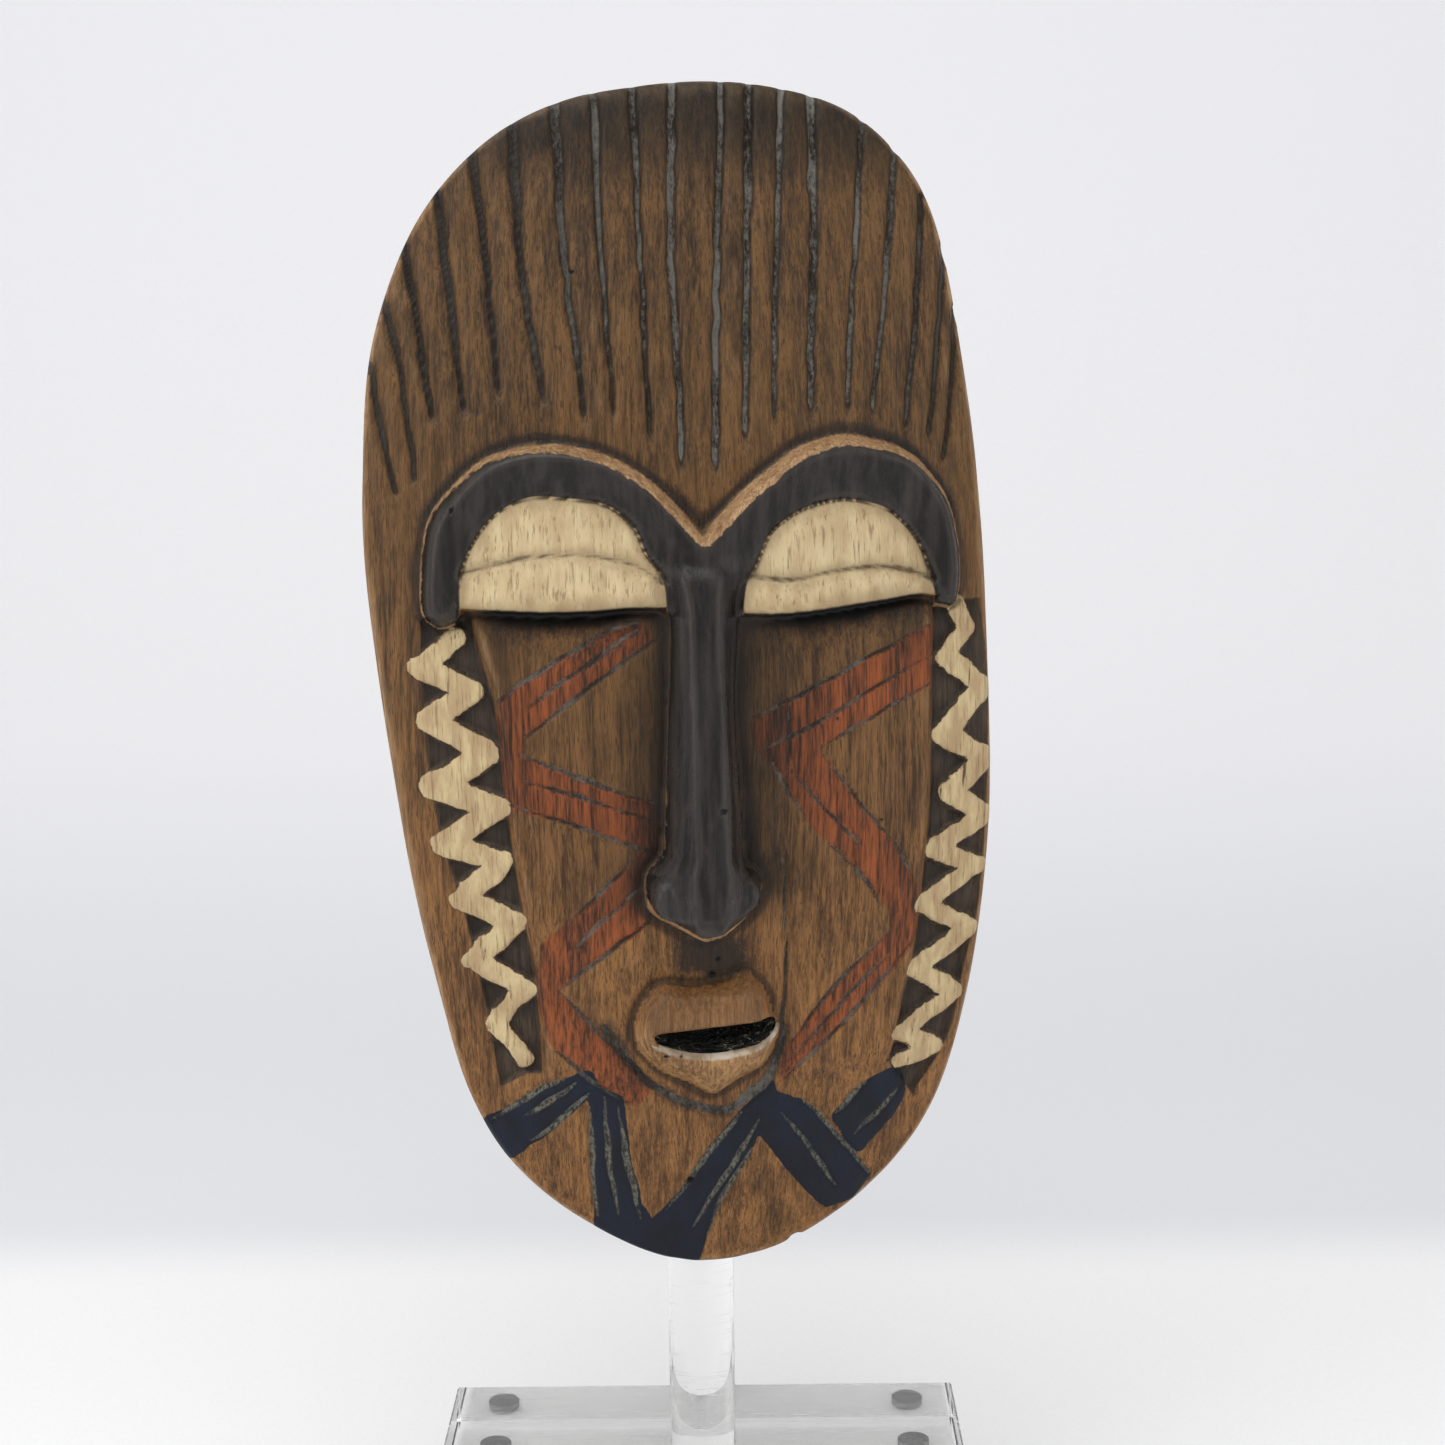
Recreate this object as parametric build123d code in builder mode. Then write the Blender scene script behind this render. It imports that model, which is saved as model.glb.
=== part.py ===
"""A carved and painted wooden mask, held on an acrylic rod that turns in an acrylic block.

Units are millimetres, +Z is up, and the viewer stands on the -Y side.
The origin is on the underside of the block, on the rod's own axis, and the feet reach a little below it.
"""

from build123d import *
from math import atan2, cos, degrees, hypot, radians, sin, sqrt
import os

os.makedirs("parts", exist_ok=True)

# ---------------------------------------------------------------- driving dimensions

# acrylic block and its bumper feet
base_length = 152.4
base_depth = 76.2
base_height = 31.75
base_edge_chamfer = 0.6
foot_diameter = 9.525
foot_thickness = 2.4
foot_edge_round = 0.8
foot_inset_side = 12.7
foot_inset_end = 14.3

# acrylic rod
post_diameter = 19.05
post_end_chamfer = 0.8
socket_depth = 20.0
socket_clearance = 0.1
visible_post = 61.85
flat_lead = 2.0
post_above_block = 5.0

# wooden mask
mask_height = 326.0
mask_width = 170.0
mask_turn = 8.0
rim_depth = 11.0
dome_rise = 16.0
wall = 8.5
rim_width = 9.0
post_to_mask = 6.5

# carving, all measured out from the dome of the face
brow_relief = 8.0
lid_relief = 5.5
lip_relief = 7.0
groove_width = 2.0
groove_depth = 1.6
pocket_depth = 1.8
mouth_floor = 3.5
zigzag_width = 6.5
nose_bridge_relief = 8.0
nose_tip_relief = 18.0
nose_shoulder = 0.8

# wooden block glued into the hollow, and the screws that hold it to the rod
block_width = 46.0
block_height = 70.0
block_rise = 82.0
glue_gap = 0.2
wood_screw_diameter = 4.2
wood_screw_clearance = 0.15
wood_screw_bite = 13.0
wood_screw_point = 5.0
wood_screw_head_diameter = 7.9
wood_screw_head_height = 3.0
wood_screw_slot_width = 1.1
wood_screw_slot_depth = 1.5
wood_screw_spacing = 40.0
screw_tip_room = 1.0
washer_diameter = 9.0
washer_thickness = 0.8
spot_face_diameter = 10.0
spot_face_depth = 2.0

# ---------------------------------------------------------------- heights and planes

base_top = base_height
socket_floor = base_top - socket_depth
mask_bottom = base_top + visible_post
flat_bottom = mask_bottom - flat_lead
block_bottom = mask_bottom + block_rise
block_top = block_bottom + block_height
post_top = block_top + post_above_block
post_radius = post_diameter / 2
block_middle = (block_bottom + block_top) / 2
wood_screw_heights = {
    "lower": block_middle - wood_screw_spacing / 2,
    "upper": block_middle + wood_screw_spacing / 2,
}

turn = radians(mask_turn)
forward = Vector(sin(turn), -cos(turn), 0)
across = Vector(cos(turn), sin(turn), 0)

# the mask's back plane: its x runs across the mask, its y is up and its normal looks out of the face
mask_back = Plane(origin=forward * post_to_mask + Vector(0, 0, mask_bottom), x_dir=across, z_dir=forward)
# the same direction as mask_back, through the rod's axis
post_plane = Plane(origin=(0, 0, 0), x_dir=across, z_dir=forward)

# the carving is drawn for a mask of this size
drawn_width = 170.0
drawn_height = 326.0

# how far the tools of a cut run past what they cut
overrun = 6.0
deep = rim_depth + dome_rise + nose_tip_relief + overrun

# the piece of a barrel that shapes the front: how far it reaches inwards, and its angle in degrees
barrel_wall = 70.0
barrel_sweep = 80.0


def on_face(*points):
    """Points drawn for a mask of the drawn size, brought to this mask's size."""
    return [(x * mask_width / drawn_width, y * mask_height / drawn_height) for x, y in points]


def dome(relief):
    """A barrel-shaped wall whose front is the dome of the face, moved out by relief."""
    half_width = mask_width / 2
    half_height = mask_height / 2
    crosswise_radius = (half_width**2 + dome_rise**2) / (2 * dome_rise)
    lengthwise_radius = (half_height**2 + dome_rise**2) / (2 * dome_rise)
    # distances from the barrel's upright axis, which is far behind the mask
    middle = crosswise_radius + relief
    end = middle - lengthwise_radius + sqrt(lengthwise_radius**2 - (half_height + overrun)**2)
    inside = crosswise_radius - barrel_wall
    axis = Axis(mask_back.origin + forward * (rim_depth + dome_rise - crosswise_radius), (0, 0, 1))
    start = turn - radians(barrel_sweep / 2)
    outwards = Vector(sin(start), -cos(start), 0)
    start_plane = Plane(origin=axis.position, x_dir=outwards, z_dir=outwards.cross(Vector(0, 0, 1)))
    with BuildPart() as barrel:
        with BuildSketch(start_plane):
            with BuildLine():
                Polyline((end, -overrun), (inside, -overrun), (inside, mask_height + overrun),
                         (end, mask_height + overrun))
                ThreePointArc((end, -overrun), (middle, half_height), (end, mask_height + overrun))
            make_face()
        revolve(axis=axis, revolution_arc=barrel_sweep)
    return barrel.part


skin = dome(0)
hair_floor = dome(-groove_depth)
pocket_floor = dome(-pocket_depth)
brow_skin = dome(brow_relief)
lid_skin = dome(lid_relief)
lip_skin = dome(lip_relief)
inner_skin = dome(-wall)
mouth_skin = dome(mouth_floor - wall)
block_skin = dome(-wall - glue_gap)

# ---------------------------------------------------------------- mask outlines

outline = on_face(
    (-1, 0), (23, 4), (48, 20), (66, 43), (76, 78), (81, 124), (80, 169), (78, 210), (74, 246), (66, 289),
    (53, 310), (33, 322), (4, 326), (-30, 322), (-54, 311), (-73, 290), (-85, 260), (-89, 228), (-89, 196),
    (-82, 131), (-74, 86), (-65, 51), (-49, 26), (-23, 7),
)
brow_outer = on_face(
    (-65, 188), (-75, 188), (-74, 207), (-66, 222), (-53, 231), (-39, 233), (-24, 229), (-11, 220), (-1, 209),
    (10, 220), (25, 231), (40, 234), (56, 229), (66, 217), (71, 202), (71, 188), (62, 188),
)
left_lid_arch = on_face(
    (-65, 189), (-64, 201), (-57, 213), (-47, 219), (-36, 219), (-23, 215), (-15, 204), (-11, 189),
)
right_lid_arch = on_face((9, 188), (12, 199), (18, 209), (27, 215), (38, 217), (49, 214), (58, 205), (62, 189))
lips_outline = on_face((-20, 74), (-16, 86), (-3, 84), (11, 88), (19, 76), (16, 60), (0, 50), (-15, 59))
mouth_outline = on_face((-16, 71), (-12, 74), (2, 75), (16, 76), (19, 73), (12, 67), (4, 65), (-8, 65))
left_strip = on_face(
    (-62, 186), (-57, 164), (-53, 130), (-48, 92), (-46, 66), (-54, 55), (-61, 81), (-67, 111), (-72, 132),
    (-75, 160), (-75, 186),
)
left_zigzag = on_face(
    (-66, 180), (-76, 173), (-61, 167), (-75, 158), (-58, 151), (-74, 141), (-56, 137), (-71, 125), (-54, 121),
    (-67, 109), (-51, 103), (-65, 91), (-49, 85), (-59, 74), (-49, 64),
)
right_strip = on_face(
    (63, 187), (62, 147), (60, 106), (56, 80), (52, 60), (61, 54), (70, 63), (75, 88), (78, 107), (80, 140),
    (78, 187),
)
right_zigzag = on_face(
    (70, 186), (77, 181), (66, 172), (79, 162), (65, 151), (80, 143), (66, 134), (79, 127), (63, 119), (78, 112),
    (60, 103), (76, 94), (58, 85), (72, 76), (54, 67), (66, 60), (56, 57),
)
hair_grooves = [
    on_face((-84, 249), (-80, 219)), on_face((-81, 266), (-76, 221)), on_face((-74, 281), (-70, 237)),
    on_face((-66, 291), (-62, 239)), on_face((-57, 304), (-53, 243)), on_face((-47, 311), (-41, 241)),
    on_face((-35, 316), (-31, 235)), on_face((-26, 319), (-23, 236)), on_face((-16, 321), (-13, 230)),
    on_face((-6, 321), (-6, 225)), on_face((7, 320), (3, 224)), on_face((15, 320), (11, 231)),
    on_face((24, 318), (19, 236)), on_face((32, 317), (29, 237)), on_face((46, 310), (39, 237)),
    on_face((55, 302), (46, 236)), on_face((62, 291), (55, 232)), on_face((68, 277), (62, 230)),
    on_face((71, 264), (66, 225)),
]
# the nose at five heights: height, half width, half width of the ridge, relief of the ridge
nose_sections = [
    (198.0, 11.0, 4.0, nose_bridge_relief),
    (160.0, 9.5, 3.5, nose_bridge_relief + 2.0),
    (126.0, 10.5, 3.5, nose_tip_relief - 4.0),
    (111.0, 15.5, 4.0, nose_tip_relief),
    (101.0, 7.0, 3.0, nose_tip_relief - 3.0),
]

# ---------------------------------------------------------------- mask

# grooves of the hair: long narrow slots that stop at groove_depth under the dome
with BuildPart() as hair_tool:
    with BuildSketch(mask_back):
        for (top_x, top_y), (low_x, low_y) in hair_grooves:
            with Locations(((top_x + low_x) / 2, (top_y + low_y) / 2)):
                SlotCenterToCenter(hypot(top_x - low_x, top_y - low_y), groove_width,
                                   rotation=degrees(atan2(top_y - low_y, top_x - low_x)))
    extrude(amount=deep)
    add(hair_floor, mode=Mode.SUBTRACT)

# triangular pockets on both sides of each zigzag
with BuildPart() as pocket_tool:
    for strip, zigzag in ((left_strip, left_zigzag), (right_strip, right_zigzag)):
        with BuildSketch(mask_back):
            Polygon(*strip, align=None)
            with BuildLine():
                Polyline(*zigzag)
            trace(line_width=zigzag_width, mode=Mode.SUBTRACT)
        extrude(amount=deep)
    add(pocket_floor, mode=Mode.SUBTRACT)

with BuildPart() as brow_ridge:
    with BuildSketch(mask_back):
        with BuildLine():
            Polyline(*brow_outer)
            Line(brow_outer[-1], right_lid_arch[-1])
            Spline(*right_lid_arch)
            Line(right_lid_arch[0], left_lid_arch[-1])
            Spline(*left_lid_arch)
            Line(left_lid_arch[0], brow_outer[0])
        make_face()
    extrude(amount=deep)
    add(brow_skin, mode=Mode.INTERSECT)

with BuildPart() as eyelids:
    with BuildSketch(mask_back):
        for arch in (left_lid_arch, right_lid_arch):
            with BuildLine():
                Spline(*arch)
                Line(arch[0], arch[-1])
            make_face()
    extrude(amount=deep)
    add(lid_skin, mode=Mode.INTERSECT)

with BuildPart() as lips:
    with BuildSketch(mask_back):
        with BuildLine():
            Spline(*lips_outline, periodic=True)
        make_face()
    extrude(amount=deep)
    add(lip_skin, mode=Mode.INTERSECT)

# the mouth is a deep recess, with a floor of wood between it and the hollow
with BuildPart() as mouth_tool:
    with BuildSketch(mask_back):
        with BuildLine():
            Spline(*mouth_outline, periodic=True)
        make_face()
    extrude(amount=deep)
    add(mouth_skin, mode=Mode.SUBTRACT)

with BuildPart() as nose:
    for height, half_width, ridge_half_width, relief in nose_sections:
        level = height * mask_height / drawn_height
        section_plane = Plane(origin=mask_back.origin + Vector(0, 0, level), x_dir=across, z_dir=(0, 0, 1))
        # y of a section runs backwards, so a point in front of the back plane has a negative y
        ridge = -(rim_depth + dome_rise + relief)
        cheek = -(rim_depth + dome_rise - wall / 2)
        shoulder = (2 * ridge + cheek) / 3
        with BuildSketch(section_plane):
            with BuildLine():
                right_side = Polyline(
                    (0, ridge), (ridge_half_width, ridge), (half_width * nose_shoulder, shoulder),
                    (half_width, cheek), (0, cheek),
                )
                mirror(right_side, about=Plane.YZ)
            make_face()
    loft(ruled=True)

hollow_outline = [(x * (1 - 2 * rim_width / mask_width), mask_height / 2 + (y - mask_height / 2)
                   * (1 - 2 * rim_width / mask_height)) for x, y in outline]
with BuildPart() as hollow:
    with BuildSketch(mask_back.offset(-overrun)):
        with BuildLine():
            Spline(*hollow_outline, periodic=True)
        make_face()
    extrude(amount=deep)
    add(inner_skin, mode=Mode.INTERSECT)

with BuildPart() as mask_shell:
    with BuildSketch(mask_back):
        with BuildLine():
            Spline(*outline, periodic=True)
        make_face()
    extrude(amount=deep)
    add(skin, mode=Mode.INTERSECT)
    add(hair_tool.part, mode=Mode.SUBTRACT)
    add(pocket_tool.part, mode=Mode.SUBTRACT)
    add(brow_ridge.part)
    add(eyelids.part)
    add(lips.part)
    add(nose.part)
    add(hollow.part, mode=Mode.SUBTRACT)
    add(mouth_tool.part, mode=Mode.SUBTRACT)
mask_shell.part.label = "mask_shell"
export_step(mask_shell.part, "parts/mask_shell.step")

# ---------------------------------------------------------------- block in the hollow

with BuildPart() as mounting_block:
    with BuildSketch(mask_back):
        with Locations((0, block_rise)):
            Rectangle(block_width, block_height, align=(Align.CENTER, Align.MIN))
    extrude(amount=rim_depth + dome_rise)
    add(block_skin, mode=Mode.INTERSECT)
    for height in wood_screw_heights.values():
        hole_plane = Plane(forward * post_to_mask + Vector(0, 0, height), x_dir=across, z_dir=forward)
        with BuildSketch(hole_plane):
            Circle(wood_screw_diameter / 2 + wood_screw_clearance)
        extrude(amount=wood_screw_bite + screw_tip_room, mode=Mode.SUBTRACT)
mounting_block.part.label = "mounting_block"
export_step(mounting_block.part, "parts/mounting_block.step")

# ---------------------------------------------------------------- acrylic rod

post_bottom = socket_floor
pad_distance = post_radius - spot_face_depth
with BuildPart() as post:
    with BuildSketch(Plane.XY.offset(post_bottom)):
        Circle(post_radius)
    extrude(amount=post_top - post_bottom)
    chamfer(post.edges().filter_by(GeomType.CIRCLE), post_end_chamfer)
    # a flat along the front, which the block and the rim of the mask lie against
    with BuildSketch(post_plane.offset(post_to_mask)):
        with Locations((0, flat_bottom)):
            Rectangle(post_diameter, post_top - flat_bottom + overrun, align=(Align.CENTER, Align.MIN))
    extrude(amount=post_radius, mode=Mode.SUBTRACT)
    # spot faces and clearance holes for the wood screws
    for height in wood_screw_heights.values():
        screw_plane = Plane(-forward * pad_distance + Vector(0, 0, height), x_dir=across, z_dir=forward)
        with BuildSketch(screw_plane):
            Circle(spot_face_diameter / 2)
        extrude(amount=-spot_face_depth - overrun, mode=Mode.SUBTRACT)
        with BuildSketch(screw_plane):
            Circle(wood_screw_diameter / 2 + wood_screw_clearance)
        extrude(amount=post_diameter, mode=Mode.SUBTRACT)
post.part.label = "post"
export_step(post.part, "parts/post.step")

# ---------------------------------------------------------------- screws through the rod into the block

rod_between = pad_distance + post_to_mask
wood_screw_length = rod_between + washer_thickness + wood_screw_bite
for name, height in wood_screw_heights.items():
    seat = Plane(origin=-forward * pad_distance + Vector(0, 0, height), x_dir=across, z_dir=forward)
    with BuildPart() as washer:
        with BuildSketch(seat):
            Circle(washer_diameter / 2)
            Circle(wood_screw_diameter / 2 + wood_screw_clearance, mode=Mode.SUBTRACT)
        extrude(amount=-washer_thickness)
    washer.part.label = "washer_" + name
    export_step(washer.part, "parts/washer_" + name + ".step")

    # the profile's x runs across and its y runs backwards, from under the head to the top of it
    under_head = seat.offset(-washer_thickness)
    profile_plane = Plane(origin=under_head.origin, x_dir=across, z_dir=(0, 0, 1))
    head_top = under_head.offset(-wood_screw_head_height)
    with BuildPart() as mask_screw:
        with BuildSketch(profile_plane):
            with BuildLine():
                Polyline((0, wood_screw_head_height), (0, -wood_screw_length),
                         (wood_screw_diameter / 2, wood_screw_point - wood_screw_length),
                         (wood_screw_diameter / 2, 0), (wood_screw_head_diameter / 2, 0))
                TangentArc((0, wood_screw_head_height), (wood_screw_head_diameter / 2, 0), tangent=(1, 0))
            make_face()
        revolve(axis=Axis(under_head.origin, forward))
        with BuildSketch(head_top):
            Rectangle(wood_screw_head_diameter + 1, wood_screw_slot_width)
        extrude(amount=wood_screw_slot_depth, mode=Mode.SUBTRACT)
    mask_screw.part.label = "mask_screw_" + name
    export_step(mask_screw.part, "parts/mask_screw_" + name + ".step")

# ---------------------------------------------------------------- acrylic block

with BuildPart() as base_block:
    with BuildSketch(Plane.XY):
        Rectangle(base_length, base_depth)
    extrude(amount=base_height)
    chamfer(base_block.edges(), base_edge_chamfer)
    with BuildSketch(Plane.XY.offset(socket_floor)):
        Circle(post_radius + socket_clearance)
    extrude(amount=socket_depth, mode=Mode.SUBTRACT)
base_block.part.label = "base_block"
export_step(base_block.part, "parts/base_block.step")

# ---------------------------------------------------------------- bumper feet

foot_x = base_length / 2 - foot_inset_side
foot_y = base_depth / 2 - foot_inset_end
foot_places = {
    "front_left": (-foot_x, -foot_y),
    "front_right": (foot_x, -foot_y),
    "rear_left": (-foot_x, foot_y),
    "rear_right": (foot_x, foot_y),
}
for name, place in foot_places.items():
    with BuildPart() as foot:
        with BuildSketch(Plane.XY.offset(-foot_thickness)):
            with Locations(place):
                Circle(foot_diameter / 2)
        extrude(amount=foot_thickness)
        fillet(foot.edges().group_by(Axis.Z)[0], foot_edge_round)
    foot.part.label = "foot_" + name
    export_step(foot.part, "parts/foot_" + name + ".step")
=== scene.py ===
"""Looks of a carved and painted mask that stands on an acrylic rod in an acrylic block.

Lengths are metres in the row frame, except in the carving of the mask, which is drawn in millimetres on the
mask's own face: x runs across it, y up from its chin, and depth out of the face from the flat of its back.
"""

import math

import bmesh
import bpy
import numpy as np
from mathutils import Matrix, Vector


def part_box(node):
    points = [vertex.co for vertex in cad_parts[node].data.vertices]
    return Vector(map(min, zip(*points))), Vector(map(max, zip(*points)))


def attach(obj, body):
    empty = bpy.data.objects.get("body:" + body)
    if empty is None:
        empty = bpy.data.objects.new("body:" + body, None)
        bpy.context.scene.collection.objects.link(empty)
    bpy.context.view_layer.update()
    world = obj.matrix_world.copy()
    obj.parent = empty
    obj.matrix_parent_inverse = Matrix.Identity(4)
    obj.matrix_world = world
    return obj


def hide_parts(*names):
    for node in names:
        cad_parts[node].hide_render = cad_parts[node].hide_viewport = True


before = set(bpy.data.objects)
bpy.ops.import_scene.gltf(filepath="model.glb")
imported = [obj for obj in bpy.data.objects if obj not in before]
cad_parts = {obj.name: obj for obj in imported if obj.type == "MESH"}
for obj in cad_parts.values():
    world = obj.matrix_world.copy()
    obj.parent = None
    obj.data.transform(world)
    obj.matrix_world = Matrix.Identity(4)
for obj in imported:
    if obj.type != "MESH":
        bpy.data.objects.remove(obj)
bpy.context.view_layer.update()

MM = 0.001
FAR = 99.0                             # stands for "nowhere near" in a signed distance, in millimetres
scene = bpy.context.scene

# ---------------------------------------------------------------- measures from the frame

TURN = math.radians(8.0)
ACROSS = np.array([math.cos(TURN), math.sin(TURN), 0.0])
FORWARD = np.array([math.sin(TURN), -math.cos(TURN), 0.0])
BACK_PLANE = 6.5                       # from the rod's axis forward to the flat back of the mask
DRAWN_WIDTH = 170.5
DRAWN_HEIGHT = 326.0
STAY_INSIDE = 0.996                    # the carving keeps this share of the CAD outline

mask_low, mask_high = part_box("mask_shell")
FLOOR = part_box("foot_front_left")[0].z
mask_points = np.array([v.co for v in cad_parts["mask_shell"].data.vertices], float)
mask_across = mask_points @ ACROSS
HALF_WIDTH = (mask_across.max() - mask_across.min()) / 2 / MM
MIDDLE_X = (mask_across.max() + mask_across.min()) / 2 / MM
HEIGHT = (mask_high.z - mask_low.z) / MM
HALF_HEIGHT = HEIGHT / 2


def place(x, y, depth):
    """Points of the drawn face, in millimetres, as points of the row frame, in metres."""
    x = MIDDLE_X + (np.asarray(x) - MIDDLE_X) * STAY_INSIDE * 2 * HALF_WIDTH / DRAWN_WIDTH
    y = HALF_HEIGHT + (np.asarray(y) - DRAWN_HEIGHT / 2) * STAY_INSIDE * HEIGHT / DRAWN_HEIGHT
    out = np.asarray(depth) + BACK_PLANE
    flat = x[..., None] * ACROSS + out[..., None] * FORWARD
    flat[..., 2] += y + mask_low.z / MM
    return flat * MM


# ---------------------------------------------------------------- lines and zones drawn on the face

def smooth(points, closed=False, steps=7):
    """A smooth line through the points (Catmull-Rom)."""
    p = np.array(points, float)
    if closed:
        p = np.vstack([p[-1], p, p[0], p[1]])
    else:
        p = np.vstack([2 * p[0] - p[1], p, 2 * p[-1] - p[-2]])
    t = (np.arange(steps) / steps)[:, None]
    line = []
    for a, b, c, d in zip(p[:-3], p[1:-2], p[2:-1], p[3:]):
        line.append(0.5 * (2 * b + (c - a) * t + (2 * a - 5 * b + 4 * c - d) * t**2
                           + (3 * b - a - 3 * c + d) * t**3))
    line = np.vstack(line)
    return line if closed else np.vstack([line, p[-2]])


def nearest(x, y, line, closed=False):
    """Distance to a line, how far along it the nearest place is (0 to 1), and the signed side of it."""
    line = np.asarray(line, float)
    ends = np.vstack([line, line[:1]]) if closed else line
    lengths = np.hypot(*(ends[1:] - ends[:-1]).T)
    total = max(lengths.sum(), 1e-9)
    best = np.full(x.shape, 1e9)
    along = np.zeros(x.shape)
    side = np.zeros(x.shape)
    done = 0.0
    for (ax, ay), (bx, by), length in zip(ends[:-1], ends[1:], lengths):
        if length < 1e-9:
            continue
        dx, dy = bx - ax, by - ay
        t = np.clip(((x - ax) * dx + (y - ay) * dy) / length**2, 0, 1)
        ox, oy = x - ax - t * dx, y - ay - t * dy
        d2 = ox * ox + oy * oy
        closer = d2 < best
        best = np.where(closer, d2, best)
        along = np.where(closer, (done + t * length) / total, along)
        side = np.where(closer, np.sign(dx * oy - dy * ox), side)
        done += length
    return np.sqrt(best), along, side


def inside(x, y, line):
    found = np.zeros(x.shape, bool)
    line = np.asarray(line, float)
    for (ax, ay), (bx, by) in zip(line, np.roll(line, -1, 0)):
        if ay == by:
            continue
        crosses = ((ay > y) != (by > y)) & (x < (bx - ax) * (y - ay) / (by - ay) + ax)
        found ^= crosses
    return found


def zone(x, y, line):
    """Signed distance to a closed outline, negative inside it."""
    d = nearest(x, y, line, closed=True)[0]
    return np.where(inside(x, y, line), -d, d)


def stroke(x, y, line, widths):
    """Signed distance to a stroke whose width changes evenly between the widths given along it."""
    d, along = nearest(x, y, line)[:2]
    width = np.interp(along, np.linspace(0, 1, len(widths)), widths)
    return d - width / 2


def joined(x, y, outlines):
    """Signed distance to several closed outlines taken as one."""
    return np.minimum.reduce([zone(x, y, line) for line in outlines])


def grooves(x, y, lines, widths):
    """Signed distance to several smooth strokes of the same widths."""
    return np.minimum.reduce([stroke(x, y, smooth(line), widths) for line in lines])


def ease(t):
    t = np.clip(t, 0, 1)
    return t * t * (3 - 2 * t)


def rise(t):
    """Quick at first, then level: the rounded shoulder of a carved ridge."""
    t = np.clip(t, 0, 1)
    return 1 - (1 - t) ** 2


def hold_higher(a, b, blend):
    """The higher of two heights, with a soft crease between them."""
    t = np.clip(0.5 + 0.5 * (a - b) / blend, 0, 1)
    return b + (a - b) * t + blend * t * (1 - t)


def lumps(x, y, size, seed):
    """Smooth noise from -1 to 1 with features about as large as size."""
    table = np.random.default_rng(seed).uniform(-1, 1, (256, 256))
    gx, gy = x / size + 40.0, y / size + 40.0
    ix, iy = np.floor(gx).astype(int), np.floor(gy).astype(int)
    fx, fy = ease(gx - ix), ease(gy - iy)
    a = table[ix % 256, iy % 256] * (1 - fx) + table[(ix + 1) % 256, iy % 256] * fx
    b = table[ix % 256, (iy + 1) % 256] * (1 - fx) + table[(ix + 1) % 256, (iy + 1) % 256] * fx
    return a * (1 - fy) + b * fy


OUTLINE = smooth([
    (-1, 0), (23, 4), (48, 20), (66, 43), (76, 78), (81, 124), (80, 169), (78, 210), (74, 246), (66, 289),
    (53, 310), (33, 322), (4, 326), (-30, 322), (-54, 311), (-73, 290), (-85, 260), (-89, 228), (-89, 196),
    (-82, 131), (-74, 86), (-65, 51), (-49, 26), (-23, 7)], closed=True, steps=12)
HAIR = [
    [(-86, 254), (-84, 240), (-80, 218)], [(-82, 270), (-78, 252), (-75, 221)],
    [(-76, 286), (-73, 261), (-70, 237)], [(-67, 298), (-64, 263), (-62, 239)],
    [(-58, 312), (-55, 279), (-53, 243)], [(-47, 318), (-46, 278), (-42, 248), (-41, 241)],
    [(-36, 325), (-35, 283), (-32, 254), (-31, 235)], [(-26, 328), (-25, 276), (-23, 236)],
    [(-16, 331), (-15, 278), (-14, 239), (-13, 229)], [(-5, 331), (-7, 281), (-6, 247), (-6, 223)],
    [(8, 330), (5, 281), (4, 254), (3, 221)], [(15, 330), (13, 278), (11, 229)],
    [(24, 328), (21, 281), (19, 234)], [(32, 327), (31, 283), (30, 264), (29, 236)],
    [(46, 318), (42, 275), (39, 237)], [(55, 310), (51, 275), (46, 236)], [(62, 296), (59, 262), (55, 232)],
    [(68, 282), (65, 252), (62, 230)], [(71, 266), (69, 241), (66, 224)]]
# width at the top and the bottom of each groove, and how far its soft side reaches
HAIR_WIDTHS = [
    (1.8, 1.6, 0), (1.8, 1.6, 0), (2.4, 1.4, 2), (2.6, 1.4, 3), (2.4, 1.2, 3), (3.2, 1.4, 4), (3.2, 1.2, 4),
    (2.6, 1.0, 2), (2.4, 1.2, 1), (2.8, 1.8, 1), (2.2, 2.4, 1), (2.6, 2.0, 1), (2.2, 1.6, 0), (3.0, 2.2, 2),
    (1.8, 1.8, 0), (2.4, 1.6, 0), (1.8, 1.6, 0), (1.8, 1.4, 0), (1.4, 1.2, 0)]

BROW_LEFT = smooth([(-66, 185), (-71, 184), (-75, 189), (-74.5, 204), (-72, 214), (-66, 222), (-58, 229),
    (-48, 232.5), (-39, 233), (-28, 231), (-18, 226), (-9, 218.5), (-1, 209.5)])
BROW_RIGHT = smooth([(-1, 209.5), (8, 218.5), (16, 225), (25, 231), (36, 234), (45, 233), (56, 229),
    (64, 221), (68.5, 213), (71, 200), (70.5, 190), (68, 186), (63, 186.5)])
LID_LEFT = smooth([(-65, 189), (-64, 201), (-57, 213), (-47, 219), (-37, 219), (-26, 217), (-19, 211),
    (-16, 204), (-12, 198), (-11, 189.5)])
LID_RIGHT = smooth([(9, 188.5), (10, 195), (13, 201), (17, 209), (26, 215), (37, 217), (47, 215), (53, 211),
    (58, 205), (61, 198), (62.5, 190.5)])
LID_LEFT_EDGE = smooth([(-65, 190.3), (-54, 189.7), (-43, 189.3), (-30, 189.5), (-20, 190.2), (-11, 190.2)])
LID_RIGHT_EDGE = smooth([(9, 188.2), (18, 187.7), (27, 188), (38, 189), (49, 190), (57, 191), (63, 190.3)])
CREASE_LEFT = smooth([(-63.5, 199.5), (-53, 202.5), (-42, 204), (-29, 203.5), (-19, 201), (-12.5, 196.5)])
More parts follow.
